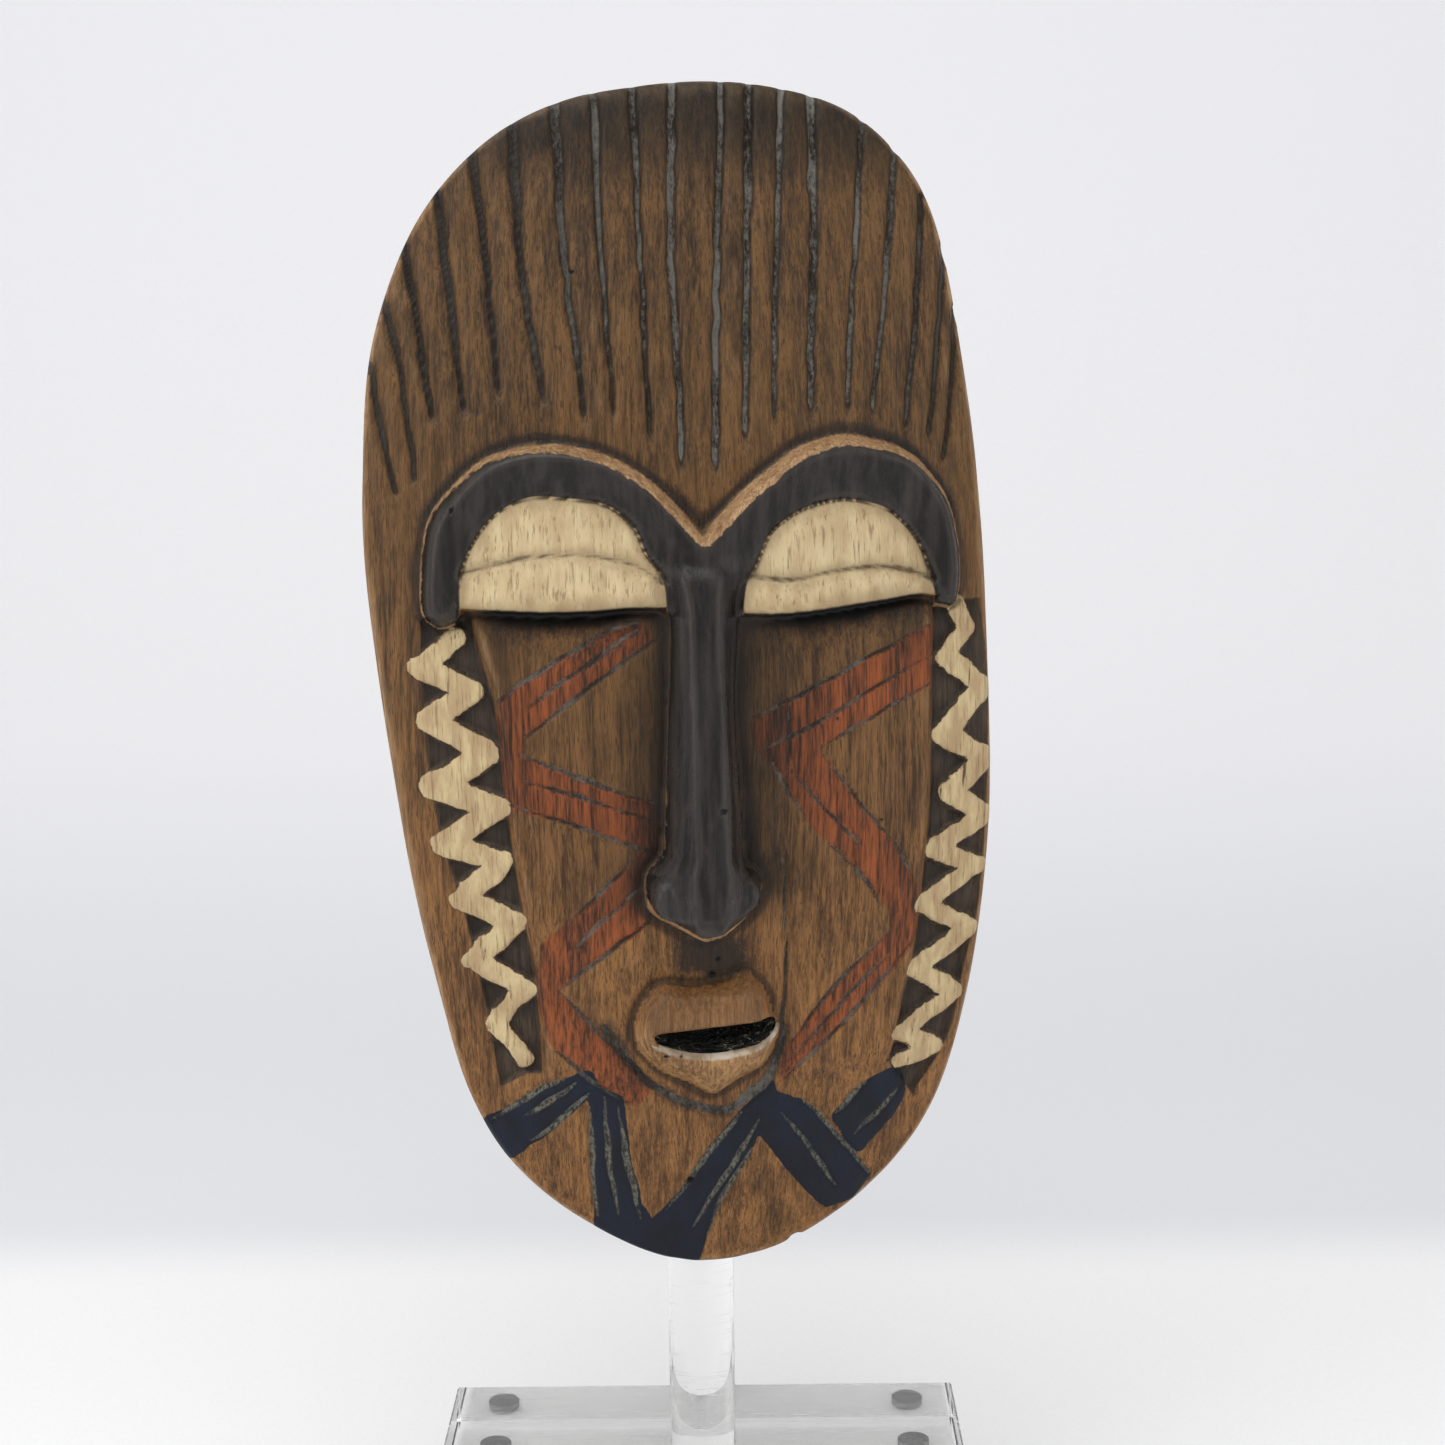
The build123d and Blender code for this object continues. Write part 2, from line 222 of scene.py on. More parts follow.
CREASE_RIGHT = smooth([(10.5, 197.5), (23, 196.3), (33, 198), (45, 198.8), (55, 197.3), (61.5, 194.5)])
NOSE_LEFT = smooth([(-11, 189.5), (-10, 183), (-11, 160), (-12, 137), (-13, 124), (-17, 118.5), (-18, 113),
    (-16.5, 107), (-10, 102.5), (-3, 99)])
NOSE_RIGHT = smooth([(-3, 99), (5.5, 102.5), (12, 108), (14, 113.5), (12, 118), (9, 121), (8.5, 136),
    (7, 160), (8, 182), (9, 188.5)])
BLACK = np.vstack([BROW_LEFT, BROW_RIGHT, LID_RIGHT[::-1], NOSE_RIGHT[::-1], NOSE_LEFT[::-1], LID_LEFT[::-1]])
MOUTH = smooth([(-15.6, 71), (-15, 73), (-7.5, 73.9), (2.4, 74.7), (11.7, 75.4), (16.8, 75.2), (18.2, 73.4),
    (17.4, 71.8), (13.7, 69.6), (7.9, 68), (2, 67.2), (-4, 67.3), (-9.5, 68.5), (-14, 70)], closed=True)
LIPS = smooth([(-13.7, 86), (-19, 80.6), (-21, 75), (-21, 70.5), (-18, 64.6), (-12.3, 59.8), (-5.7, 56.5),
    (-2, 53.8), (1.2, 52.9), (4, 54.6), (8.6, 57.4), (14.4, 60.5), (17.6, 65.5), (19, 71.6), (17.2, 77),
    (15, 83.3), (11.5, 88.2), (7.6, 89), (4.5, 86.6), (-3.8, 85.4)], closed=True)
UPPER_LIP = smooth([(-13, 83.6), (-4, 83.4), (1.6, 83.2), (10, 83.2)])
LOWER_LIP = smooth([(-15, 69.3), (-7.7, 66), (-2.3, 64.6), (4, 65), (11.6, 67), (18, 71)])
CHIN_GROOVE = smooth([(-29, 74), (-25.1, 68), (-21.5, 62.6), (-17.5, 57.5), (-12.8, 54), (-7, 50.3),
    (-0.8, 48.3), (5, 47.6), (11, 51.7), (15.7, 55.8), (18.4, 60.4), (20.3, 68.6), (20, 74), (20.8, 82),
    (21, 94), (20.5, 110), (19.5, 122)])

CHEEK_LEFT_EDGE = smooth([(-62, 187), (-59.5, 176), (-56.5, 164), (-55, 152), (-54, 137), (-53, 128),
    (-50.5, 109), (-47.5, 90), (-46, 69), (-46, 58)])
CHEEK_RIGHT_EDGE = smooth([(63, 188), (62.5, 167), (62.5, 147), (62, 128), (60, 106), (58, 90), (55, 76),
    (52.5, 62), (50, 56)])
STRIP_LEFT_EDGE = smooth([(-75, 188), (-75.5, 170), (-75, 156), (-73.5, 140), (-71, 125), (-67, 111),
    (-64, 97), (-61, 81), (-57, 53)])
STRIP_RIGHT_EDGE = smooth([(77, 188), (80, 165), (80, 140), (78.5, 107), (77, 96), (74.5, 86), (70, 64),
    (60, 48)])
ZIGZAG_LEFT = [(-66, 182), (-76, 174), (-62, 167.5), (-74.5, 159.5), (-58.5, 151), (-73, 141.5),
    (-56.5, 136), (-71, 125.5), (-55.5, 121), (-66.5, 110.5), (-52.5, 104), (-64, 93), (-50, 85),
    (-58.5, 75), (-50.5, 64.5)]
ZIGZAG_RIGHT = [(69.5, 187), (73, 180), (66.5, 173), (78, 163.5), (66, 151), (79, 143.5), (68, 134.5),
    (79, 127.5), (64.5, 119), (77, 112.5), (60.5, 103), (75.5, 95), (59, 84.5), (71.5, 76), (54.5, 66),
    (65.5, 60.5), (54.5, 58)]

ORANGE = [
    [(-55.5, 166), (-42, 175), (-30, 182), (-18, 186.5), (-14, 181.5), (-24, 175), (-34, 167), (-48, 156),
     (-49.5, 152), (-49, 150), (-34, 144), (-15, 137), (-13, 122.5), (-35, 131), (-54, 136), (-56, 152)],
    [(-14.5, 129), (-12.5, 121), (-18.5, 110), (-18, 102), (-32, 92), (-41, 85), (-31, 73), (-19, 59.5),
     (-16, 54), (-21, 50), (-33, 58.5), (-43.5, 69), (-47, 82), (-46, 98), (-32, 110), (-21, 121)],
    [(12, 159), (28, 166.5), (46, 175), (63, 182.5), (63, 165.5), (46, 158), (30, 150), (30.5, 149),
     (41, 135), (51, 123), (60, 108), (60, 95), (50, 83), (40, 73), (28, 62), (20, 54.5), (19.5, 60),
     (22, 67), (34, 83), (51, 97), (50, 104), (42, 114), (36, 121.5), (29, 127.5), (22, 138), (17, 147),
     (12, 151)]]
ORANGE_GROOVES = [
    [(-56, 165), (-42, 174.5), (-29, 182), (-17, 186)], [(-48.5, 155), (-34, 167), (-13.5, 181.5)],
    [(-47, 164), (-34, 173.5), (-18, 184)], [(-50, 150.5), (-34, 144), (-15, 137)],
    [(-53, 137), (-35, 131), (-13, 122.5)], [(-50, 143.5), (-34, 139), (-14, 131.5)],
    [(-21, 121), (-32, 110), (-39, 103.5)], [(-17, 104), (-32, 92), (-41, 85)],
    [(-20, 113), (-29, 104.5), (-38, 95.5)], [(-41, 85), (-31, 73), (-24, 65.5), (-18, 58)],
    [(-42, 67), (-33, 58.5), (-22, 50)], [(12, 159.5), (28, 166.5), (46, 175), (62, 182)],
    [(13, 149.5), (31, 158), (47, 166.5), (63, 174)], [(30, 150), (46, 158.3), (62.5, 166)],
    [(17, 147), (22, 138), (26, 131)], [(33, 123.5), (42, 114), (48, 105)],
    [(30.5, 149), (41, 135), (51, 123)], [(51, 123), (57, 112.5)], [(22, 145), (33, 132), (42, 122)],
    [(51, 97), (40, 87.5), (33.5, 81), (22, 66)], [(57, 93), (46, 80), (34, 68), (21, 55.5)],
    [(52, 91), (38, 78.5), (23, 62)], [(22, 147.5), (22, 162)]]
NAVY = [
    smooth([(-62, 45), (-55, 50), (-47, 55), (-40, 59), (-34, 61.5), (-31.5, 59.5), (-31, 55), (-36, 49.5),
            (-43, 43), (-49, 38.5), (-56, 34)], closed=True),
    [(-33.5, 57), (-24, 53), (-22.5, 40), (-21, 30), (-18.5, 20), (-16, 15), (-9, 22), (0, 36), (7, 45.5),
     (13.5, 52.5), (17, 56.5), (19, 52), (26, 49.5), (33, 42), (40, 33), (47.5, 23), (42, 16), (34, 14),
     (28, 20), (20, 31), (14, 40), (12, 34), (7, 26), (2, 17), (-0.5, 9), (-3, -3),
     (-36, -3), (-32, 14), (-32.5, 33)],
    smooth([(35, 43), (40, 48), (46.5, 53.5), (54, 55.5), (56.5, 51), (56, 45), (50, 37), (43.5, 31),
            (40, 33), (37.5, 38)], closed=True)]
NAVY_GROOVES = [
    [(-52, 46.5), (-44, 51.5), (-37, 57.5)], [(-60, 45.5), (-50, 53), (-40, 59)],
    [(-50, 39), (-42, 45), (-33, 54)], [(-29, 53), (-28, 34), (-25, 16)],
    [(-25.5, 50), (-22.5, 32), (-19, 15)], [(-33, 50), (-32.5, 30), (-31, 16)],
    [(9, 46.5), (-1, 33), (-12, 17)], [(14, 44), (6, 30), (-5, 11)], [(12.5, 36), (4, 21), (-1, 8)],
    [(19.5, 46.5), (29, 33.5), (37, 21)], [(26, 49.5), (35, 39), (47, 23.5)],
    [(42, 36.5), (48, 42), (54.5, 49)], [(36, 43.5), (45, 52.5)]]

MOUTH_FLOOR = 17.0                     # depth of the bottom of the mouth, in front of the hollow

NOSE_LINE = [(-2.2, 212), (-1.6, 190), (-1.3, 160), (-0.9, 130), (-1.5, 104)]
PINHOLES = [(2.0, 137.0, 0.7), (0.7, 87.8, 0.8), (2.2, 92.5, 0.6), (-5.2, 26.5, 0.8), (-12.9, 67.1, 0.5),
            (-33.0, 277.0, 0.5), (-66, 216, 0.5), (35, 158, 0.4), (48, 129, 0.4), (-9, 67.3, 0.4)]


def dome(x, y):
    """Depth of the barrel-shaped skin that the whole face is carved from."""
    rim, swell, half_x, half_y = 11.0, 16.0, 85.0, 163.0
    crosswise = (half_x**2 + swell**2) / (2 * swell)
    lengthwise = (half_y**2 + swell**2) / (2 * swell)
    drop = lengthwise - np.sqrt(np.maximum(lengthwise**2 - (y - half_y) ** 2, 0))
    round_radius = crosswise - drop
    return rim + swell - crosswise + np.sqrt(np.maximum(round_radius**2 - x**2, 0))


# heights and depths of the carving, in millimetres
HAIR_DEPTH = 1.5
BROW_HEIGHT = 7.3
BROW_FALL = 2.7                        # from the brow's shoulder in towards the eyelid
LID_HEIGHT = 4.2
LID_FOLD = 1.7
UNDER_LID_DEPTH = 4.6
LIP_HEIGHT = 6.6
LIP_ROLL = 3.0
CHIN_GROOVE_DEPTH = 1.1
CHEEK_STEP = 1.7
POCKET_DEPTH = 1.7
CUT_DEPTH = 0.9
PAINT_THICKNESS = 0.25
PINHOLE_DEPTH = 1.2


def carve(x, y, edge):
    """Depth of the carved face, and the zones that its paint follows.

    edge is the distance in from the outline.
    """
    marks = {}
    depth = dome(x, y)
    wobble = 0.5 * lumps(x, y, 9.0, 1)
    wx, wy = x + 0.35 * lumps(x, y, 5.0, 2), y + 0.35 * lumps(x, y, 5.0, 3)

    # broad carving marks and the worn edge of the outline
    relief = 0.35 * lumps(x, y * 0.3, 12.0, 4) + 0.18 * lumps(x, y * 0.35, 4.0, 5)
    relief = relief - 1.3 * (1 - rise(edge / (1.6 + 0.5 * wobble))) - 0.5 * (1 - ease(edge / 6.0))

    # grooves of the hair
    hair = np.full(x.shape, FAR)
    for line, (top, low, soft) in zip(HAIR, HAIR_WIDTHS):
        path = smooth(line)
        d, along, side = nearest(wx, wy, path)
        half = (top + (low - top) * along + 0.25 * lumps(x, y, 6.0, 6)) / 2
        ends = ease((1 - along) / 0.07)
        relief -= HAIR_DEPTH * ends * np.clip(1 - (d / (half + 0.35)) ** 2, 0, 1)
        relief -= 0.35 * ends * np.clip(1 - d / (half + 2.2), 0, 1)
        if soft:
            relief -= 0.8 * ends * (side > 0) * np.clip(1 - d / (half + soft), 0, 1)
            # painted shade: on the soft side the groove's dark colour reaches out over the gentle slope
            painted_shade_reach = np.where(side > 0, (d - half) / (1 + 0.35 * soft), d - half)
            hair = np.minimum(hair, painted_shade_reach + 2 * (1 - ends))
        hair = np.minimum(hair, d - half + 2 * (1 - ends))
    marks["hair"] = hair

    # the brow ridge: a steep outer bevel, then a band that falls gently towards the eyelids
    black = zone(x, y, BLACK)
    outer = nearest(x, y, np.vstack([BROW_LEFT, BROW_RIGHT]))[0]
    brow = BROW_HEIGHT * rise(outer / 3.4) - BROW_FALL * ease((outer - 3.4) / 10)
    brow = np.where(black < 0, brow, 0) * np.where(np.abs(x + 1) < 30, ease((y - 178) / 24), 1)
    marks["black"] = black

    # the nose: a flat ridge between two sloping facets, which broadens into the tip and its wings
    nose_x = np.interp(y, [p[1] for p in NOSE_LINE[::-1]], [p[0] for p in NOSE_LINE[::-1]])
    half = np.interp(y, [99, 102.5, 107, 113, 118.5, 124, 137, 160, 183, 192, 200, 212],
                     [4, 10, 14.5, 16, 14.5, 11.2, 10.7, 9.4, 9.3, 10.6, 14, 24])
    ridge = np.interp(y, [98, 100, 103, 108, 114, 124, 140, 160, 180, 200, 212],
                      [4, 10, 15.5, 17.6, 17.0, 15.0, 12.8, 10.8, 9.4, 7.8, 6.8])
    t = np.abs(x - nose_x) / half
    flat = np.interp(y, [99, 112, 120, 160, 200, 212], [0.26, 0.25, 0.36, 0.42, 0.36, 0.3])
    facet = 1 - 0.72 * np.clip((t - flat) / (1.0 - flat), 0, 1)
    nose = ridge * facet
    for wing_x, wing_y, wide, tall, high in ((-12.4, 111.2, 6.6, 8.4, 11.0), (9.2, 111.6, 6.0, 8.0, 10.4),
                                             (-2.0, 107.0, 7.4, 8.0, 17.6)):
        r = np.hypot((x - wing_x) / wide, (y - wing_y) / tall)
        nose = hold_higher(nose, high * np.sqrt(np.clip(1 - r**2.4, 0, 1)), 0.7)
    under_tip = np.minimum(nearest(x, y, NOSE_LEFT)[0], nearest(x, y, NOSE_RIGHT)[0])
    nose = nose * ease(0.15 - black / np.where(y < 118, 2.6, 1.5))
    face = hold_higher(brow, nose * (1 - ease((y - 196) / 18)), 2.0 * ease((y - 150) / 30) + 0.01)

    # bare wood shows along the worn outer edge of the brow and under the tip of the nose
    worn = np.interp(x, [-74, -60, -45, -20, -1, 12, 30, 45, 60, 70],
                     [0.5, 1.2, 2.3, 2.9, 3.4, 3.4, 3.1, 2.8, 1.8, 0.7])
    worn_nose = np.interp(y, [96, 104, 108, 112, 120], [3.6, 3.3, 1.8, 0.5, 0.2])
    marks["worn"] = np.where(y > 150, outer - worn, under_tip - worn_nose)

    # eyelids: an upper lid, a crease, and a lower fold that overhangs the cheek
    lids = np.full(x.shape, FAR)
    under = np.zeros(x.shape)
    creases = np.full(x.shape, FAR)
    for arch, edge_line, crease_line, middle in ((LID_LEFT, LID_LEFT_EDGE, CREASE_LEFT, -37.5),
                                                 (LID_RIGHT, LID_RIGHT_EDGE, CREASE_RIGHT, 36)):
        shape = zone(x, y, np.vstack([arch, edge_line[::-1]]))
        edge_y = np.interp(x, edge_line[:, 0], edge_line[:, 1])
        crease_y = np.interp(x, crease_line[:, 0], crease_line[:, 1])
        fold = np.clip((crease_y - y) / np.maximum(crease_y - edge_y, 1), 0, 1)
        height = LID_HEIGHT + rise(nearest(x, y, arch)[0] / 9)
        height = np.where(y > crease_y, height, height + LID_FOLD * np.sqrt(fold))
        height -= 0.8 * np.exp(-(nearest(x, y, crease_line)[0] / 0.9) ** 2)
        height -= 0.35 * lumps(x, y, 7.0, 7) + 0.6 * (1 - rise((y - edge_y) / 1.2)) * (y < crease_y)
        on_lid = ease(1 - shape / 1.7) * ease((200 - y) / 6) + ease(0.5 - shape / 2.4) * ease((y - 194) / 6)
        face = face * (1 - on_lid) + height * on_lid
        lids = np.minimum(lids, shape)
        creases = np.minimum(creases, nearest(x, y, crease_line)[0] - 0.4 - 0.8 * wobble)
        below = edge_y - y
        span = np.clip(1 - (np.abs(x - middle) / 27.5) ** 2.4, 0, 1)
        under = np.maximum(under, np.where(below > -2, np.exp(-np.maximum(below - 1.2, 0) / 6.0), 0) * span)
    marks["lid"] = lids
    marks["crease"] = creases
    # the painted shadow under each lid follows this mark; the same mark deepens the scoop below the lid
    marks["under"] = under * (lids > -0.6)
    relief -= UNDER_LID_DEPTH * under * ease(lids / 1.7)

    # lips with the open mouth, and the carved line around the chin
    lips = zone(x, y, LIPS)
    mouth = zone(x, y, MOUTH)
    mound = LIP_HEIGHT * rise(-lips / 7.5) * (lips < 0)
    ridge_line = nearest(x, y, UPPER_LIP)[0]
    mound += 0.7 * np.exp(-(ridge_line / 1.4) ** 2) * (lips < 1)
    mound -= 1.2 * ease((y - 83.5) / 5) * (lips < 0)
    rim_line = nearest(x, y, LOWER_LIP)[0]
    mound += 0.8 * np.exp(-(rim_line / 1.3) ** 2) * (lips < 0)
    chin = np.hypot((x - 0.5) / 5.0, (y - 57) / 6.0)
    mound += 1.6 * np.exp(-chin**2) * (lips < 0)
    face = hold_higher(face, mound, 0.8)
    marks["lips"] = lips
    marks["lip_edge"] = np.where(y < 71.5 + 0.07 * x, mouth - 1.5 - 0.3 * wobble, FAR)
    chin_d, chin_t = nearest(wx, wy, CHIN_GROOVE)[:2]
    chin_width = np.interp(chin_t, [0, 0.2, 0.45, 0.6, 0.8, 1], [1.4, 2.4, 2.6, 1.6, 0.8, 0.5])
    marks["chin"] = chin_d - chin_width / 2 - 0.35 * wobble
    relief -= CHIN_GROOVE_DEPTH * np.clip(1 - (chin_d / (chin_width * 0.8)) ** 2, 0, 1)

    # hollow around the mouth, beside the nose and over the upper lip
    ring = nearest(x, y, LIPS, closed=True)[0]
    relief -= 1.6 * (lips > 0) * np.exp(-ring / 4.5)
    relief -= 1.0 * (black > 0) * np.exp(-black / 3.0) * (y < 188)
    groove_lip = np.hypot((x - 0) / 8, (y - 94) / 6)
    relief -= 1.0 * np.exp(-groove_lip**2)

    # cheeks stand proud of the side strips
    left, right, strip_left, strip_right = [
        np.interp(y, line[::-1, 1], line[::-1, 0])
        for line in (CHEEK_LEFT_EDGE, CHEEK_RIGHT_EDGE, STRIP_LEFT_EDGE, STRIP_RIGHT_EDGE)]
    fade = np.maximum(ease((190 - y) / 3), ease((214 - y) / 26) * ease(-black / 5))
    fade = fade * ease((y - 50) / 14)
    cheek = np.minimum(x - left, right - x)
    relief += CHEEK_STEP * rise(cheek / 2.2) * fade * (cheek > 0)
    strips = np.maximum(np.maximum(cheek, strip_left - x), np.where(x > 0, x - strip_right, -FAR))
    low_end = np.interp(x, [-60, -50, 48, 54, 62], [54, 60, 62, 54, 42])
    strips = np.maximum(strips, np.maximum(low_end - y, y - 188))
    marks["strip"] = strips

    # the painted zigzags stand between triangular pockets
    zigzag = np.full(x.shape, FAR)
    for line, widths in ((ZIGZAG_LEFT, (5.2, 6.4, 6.6, 6.8, 6.2, 6.4, 5.6, 4.8)),
                         (ZIGZAG_RIGHT, (5.0, 6.4, 6.4, 6.0, 5.6, 5.6, 5.4, 5.0))):
        zigzag = np.minimum(zigzag, stroke(wx, wy, line, widths) - 0.5 * lumps(x, y, 4.0, 8))
    marks["zigzag"] = zigzag
    pocket = (strips < 0) * ease(zigzag / 1.1) * rise(-strips / 1.4)
    relief -= POCKET_DEPTH * pocket
    relief += 0.35 * (1 - ease((zigzag + 0.6) / 0.9))

    # painted bands with cut lines
    marks["orange"] = joined(wx, wy, ORANGE)
    marks["navy"] = joined(wx, wy, NAVY)
    marks["cut"] = grooves(wx, wy, ORANGE_GROOVES, (0.3, 1.0, 1.2, 1.0, 0.3)) - 0.3 * wobble
    marks["navy_cut"] = grooves(wx, wy, NAVY_GROOVES, (0.3, 1.3, 1.6, 1.2, 0.3)) - 0.4 * wobble
    all_cuts = np.minimum(marks["cut"], marks["navy_cut"])
    relief -= CUT_DEPTH * ease((0.45 - all_cuts) / 0.9)
    relief += PAINT_THICKNESS * (1 - ease((marks["navy"] + 0.8) / 1.2))

    holes = np.full(x.shape, FAR)
    for hole_x, hole_y, radius in PINHOLES:
        away = np.hypot(x - hole_x, y - hole_y)
        relief -= PINHOLE_DEPTH * ease(1.4 - away / radius)
        holes = np.minimum(holes, away - radius)
    marks["holes"] = holes

    # soft black darkening: painted shadow under the lids and painted shade beside the nose, stain along the
    # chin groove, and darker wood over the brow, over the upper lip and round the lips
    over_brow = (black > 0) * np.exp(-np.maximum(outer - 0.4, 0) / 2.6) * ease((y - 204) / 10)
    painted_shade_beside_nose = (black > 0) * np.exp(-black / 1.8) * ease((190 - y) / 4)
    over_lip = np.exp(-((x - 0.5) / 12.5) ** 4 - ((y - 93.5) / 6.2) ** 4)
    chin_stain = 0.62 * np.exp(-(chin_d / 3.0) ** 2) * (1 - ease((chin_t - 0.55) / 0.2))
    around_lips = 0.3 * (lips > 0) * np.exp(-lips / 2.2)
    marks["soot_and_shade"] = np.maximum.reduce(
        [0.8 * over_brow, 0.7 * painted_shade_beside_nose, over_lip, chin_stain, around_lips, 1.1 * under])

    # painted shade with stain darkens the cheeks beside the nose; stain alone darkens the wood along the hair
    # line
    shade_and_stain_beside_nose = np.exp(-np.maximum(black, 0) / 15) * ease((y - 96) / 20) * ease((198 - y) / 8)
    shade_and_stain_beside_nose = shade_and_stain_beside_nose * (black > 0) * ease(cheek / 5)
    marks["stain"] = np.maximum(shade_and_stain_beside_nose, 0.8 * ease((y - 284) / 34))

    depth = depth + relief + face
    # the lips roll in towards the open mouth
    depth = depth - LIP_ROLL * ease((0.9 - mouth) / 1.8)
    return depth, marks


# ---------------------------------------------------------------- the mask's mesh

CELLS_ACROSS, CELLS_UP = 204, 390      # of the front; the hollow's grid has a third of them each way
THINNER = 3
CENTRE_X, CENTRE_Y = -3.5, 163.0
RADIUS_X, RADIUS_Y = 85.0, 163.0
WALL_ROWS = (0.04, 0.1, 0.3, 0.6, 0.88)
RIM = 8.4

outline_x = (OUTLINE[:, 0] - CENTRE_X) / RADIUS_X
outline_y = (OUTLINE[:, 1] - CENTRE_Y) / RADIUS_Y
outline_angle = np.arctan2(outline_y, outline_x)
outline_order = np.argsort(outline_angle)
OUTLINE_ANGLES = outline_angle[outline_order]
OUTLINE_REACH = np.hypot(outline_x, outline_y)[outline_order]


def sheet(cells_across, cells_up):
    """A grid over the mask: a square laid on a disc, whose rim is then brought out to the outline."""
    x, y = np.meshgrid(np.linspace(-1, 1, cells_across + 1), np.linspace(-1, 1, cells_up + 1))
    disc_x, disc_y = x * np.sqrt(1 - y**2 / 2), y * np.sqrt(1 - x**2 / 2)
    angle = np.arctan2(disc_y, disc_x)
    reach = np.interp(angle, OUTLINE_ANGLES, OUTLINE_REACH, period=2 * math.pi)
    around_x, around_y = np.cos(angle), np.sin(angle)
    facets = 0.5 + 0.5 * lumps(around_x, around_y, 0.16, 16)
    chip = np.exp(-(((angle + 1.235) / 0.022) ** 4))
    reach = reach * (1 - 0.004 * facets - 0.009 * chip)
    return (CENTRE_X + RADIUS_X * disc_x * reach).ravel(), (CENTRE_Y + RADIUS_Y * disc_y * reach).ravel()


def quads(cells_across, cells_up, first=0):
    start = np.arange(cells_across) + np.arange(cells_up)[:, None] * (cells_across + 1) + first
    start = start.ravel()
    return np.stack([start, start + 1, start + cells_across + 2, start + cells_across + 1], 1)


def border(cells_across, cells_up, first=0):
    """A grid's border points, once round from its lower left corner."""
    row = cells_across + 1
    low = list(range(cells_across))
    right = [j * row + cells_across for j in range(cells_up)]
    top = [cells_up * row + cells_across - i for i in range(cells_across)]
    left = [(cells_up - j) * row for j in range(cells_up)]
    return [first + i for i in low + right + top + left]


def hollow_depth(x, y, edge):
    """Depth of the back: a flat rim with saw marks, then the hollow with its gouge marks."""
    inner = dome(x, y) - 8.2
    across = lumps(x, y, 9.0, 11) * 0.3 + lumps(x, y * 0.25, 5.0, 12) * 0.35
    scallops = 0.45 * np.abs(np.sin((x + 6 * lumps(x, y, 40, 13)) / 6.5 * math.pi))
    floor = inner + np.clip(across + scallops, 0, 0.9)
    wall = ease((edge - RIM + 0.4 * lumps(x, y, 7.0, 14)) / 5.5)
    rim = 0.12 + 0.1 * lumps(x, y, 3.0, 15) + 0.5 * (1 - ease(edge / 1.4))
    return rim * (1 - wall) + np.maximum(floor, 0.2) * wall


def edge_distance(x, y):
    return nearest(x, y, OUTLINE, closed=True)[0]


def mask_mesh():
    """The mask as one closed skin: front, side wall and hollow back."""
    back_across, back_up = CELLS_ACROSS // THINNER, CELLS_UP // THINNER
    fx, fy = sheet(CELLS_ACROSS, CELLS_UP)
    bx, by = sheet(back_across, back_up)
    front_depth = carve(fx, fy, edge_distance(fx, fy))[0]
    back_depth = hollow_depth(bx, by, edge_distance(bx, by))
    points = [place(fx, fy, front_depth), place(bx, by, back_depth)]
    first_back = len(fx)
    front_ring = np.array(border(CELLS_ACROSS, CELLS_UP))
    back_ring = border(back_across, back_up, first_back)
    count = len(front_ring)
    ring_x, ring_y = fx[front_ring], fy[front_ring]
    ring_depth = front_depth[front_ring]
    ring_back = np.interp(np.arange(count), np.arange(0, count + 1, THINNER),
                          back_depth[np.array(back_ring + back_ring[:1]) - first_back])
    total = len(fx) + len(bx)

    faces = [quads(CELLS_ACROSS, CELLS_UP).tolist()]
    rows = [front_ring.tolist()]
    for share in WALL_ROWS:
        # the wall is a little slack between its two edges, and its knife cuts run round it
        waver = 0.35 * lumps(ring_x, ring_y + 60 * share, 7.0, 21) + 0.2 * lumps(ring_x, ring_y, 2.5, 22)
        slack = 1 - 0.004 * math.sin(math.pi * share) * (1 + waver) - 0.0035 * ease((share - 0.6) / 0.4)
        x = CENTRE_X + (ring_x - CENTRE_X) * slack
        y = CENTRE_Y + (ring_y - CENTRE_Y) * (1 - (1 - slack) * RADIUS_X / RADIUS_Y)
        points.append(place(x, y, ring_depth + (ring_back - ring_depth) * share))
        rows.append(list(range(total, total + count)))
        total += count
    last = []
    for k in range(count):
        if k % THINNER == 0:
            last.append(back_ring[k // THINNER])
        else:
            last.append(total)
            total += 1
    between = np.array([k for k in range(count) if k % THINNER])
    points.append(place(ring_x[between], ring_y[between], ring_back[between]))
    rows.append(last)
    wall = []
    for upper, lower in zip(rows[:-1], rows[1:]):
        for k in range(count):
            after = (k + 1) % count
            wall.append([upper[k], lower[k], lower[after], upper[after]])
    faces.append(wall)

    # the hollow's outermost faces take in the wall's extra points, so that nothing gapes
    extra = {}
    for k in range(0, count, THINNER):
        ends = last[k], last[(k + THINNER) % count]
        extra[ends] = last[k + 1:k + THINNER]
    hollow = []
    for quad in quads(back_across, back_up, first_back).tolist():
        loop = []
        for a, b in zip(quad, quad[1:] + quad[:1]):
            loop.append(a)
            loop.extend(extra.get((a, b), []))
        hollow.append(loop[::-1])
    faces.append(hollow)

    mesh = bpy.data.meshes.new("carved_mask")
    mesh.from_pydata(np.vstack(points).tolist(), [], sum(faces, []))
    kinds = sum(([kind] * len(part) for kind, part in enumerate(faces)), [])
    mesh.polygons.foreach_set("material_index", kinds)
    mesh.validate()
    return mesh


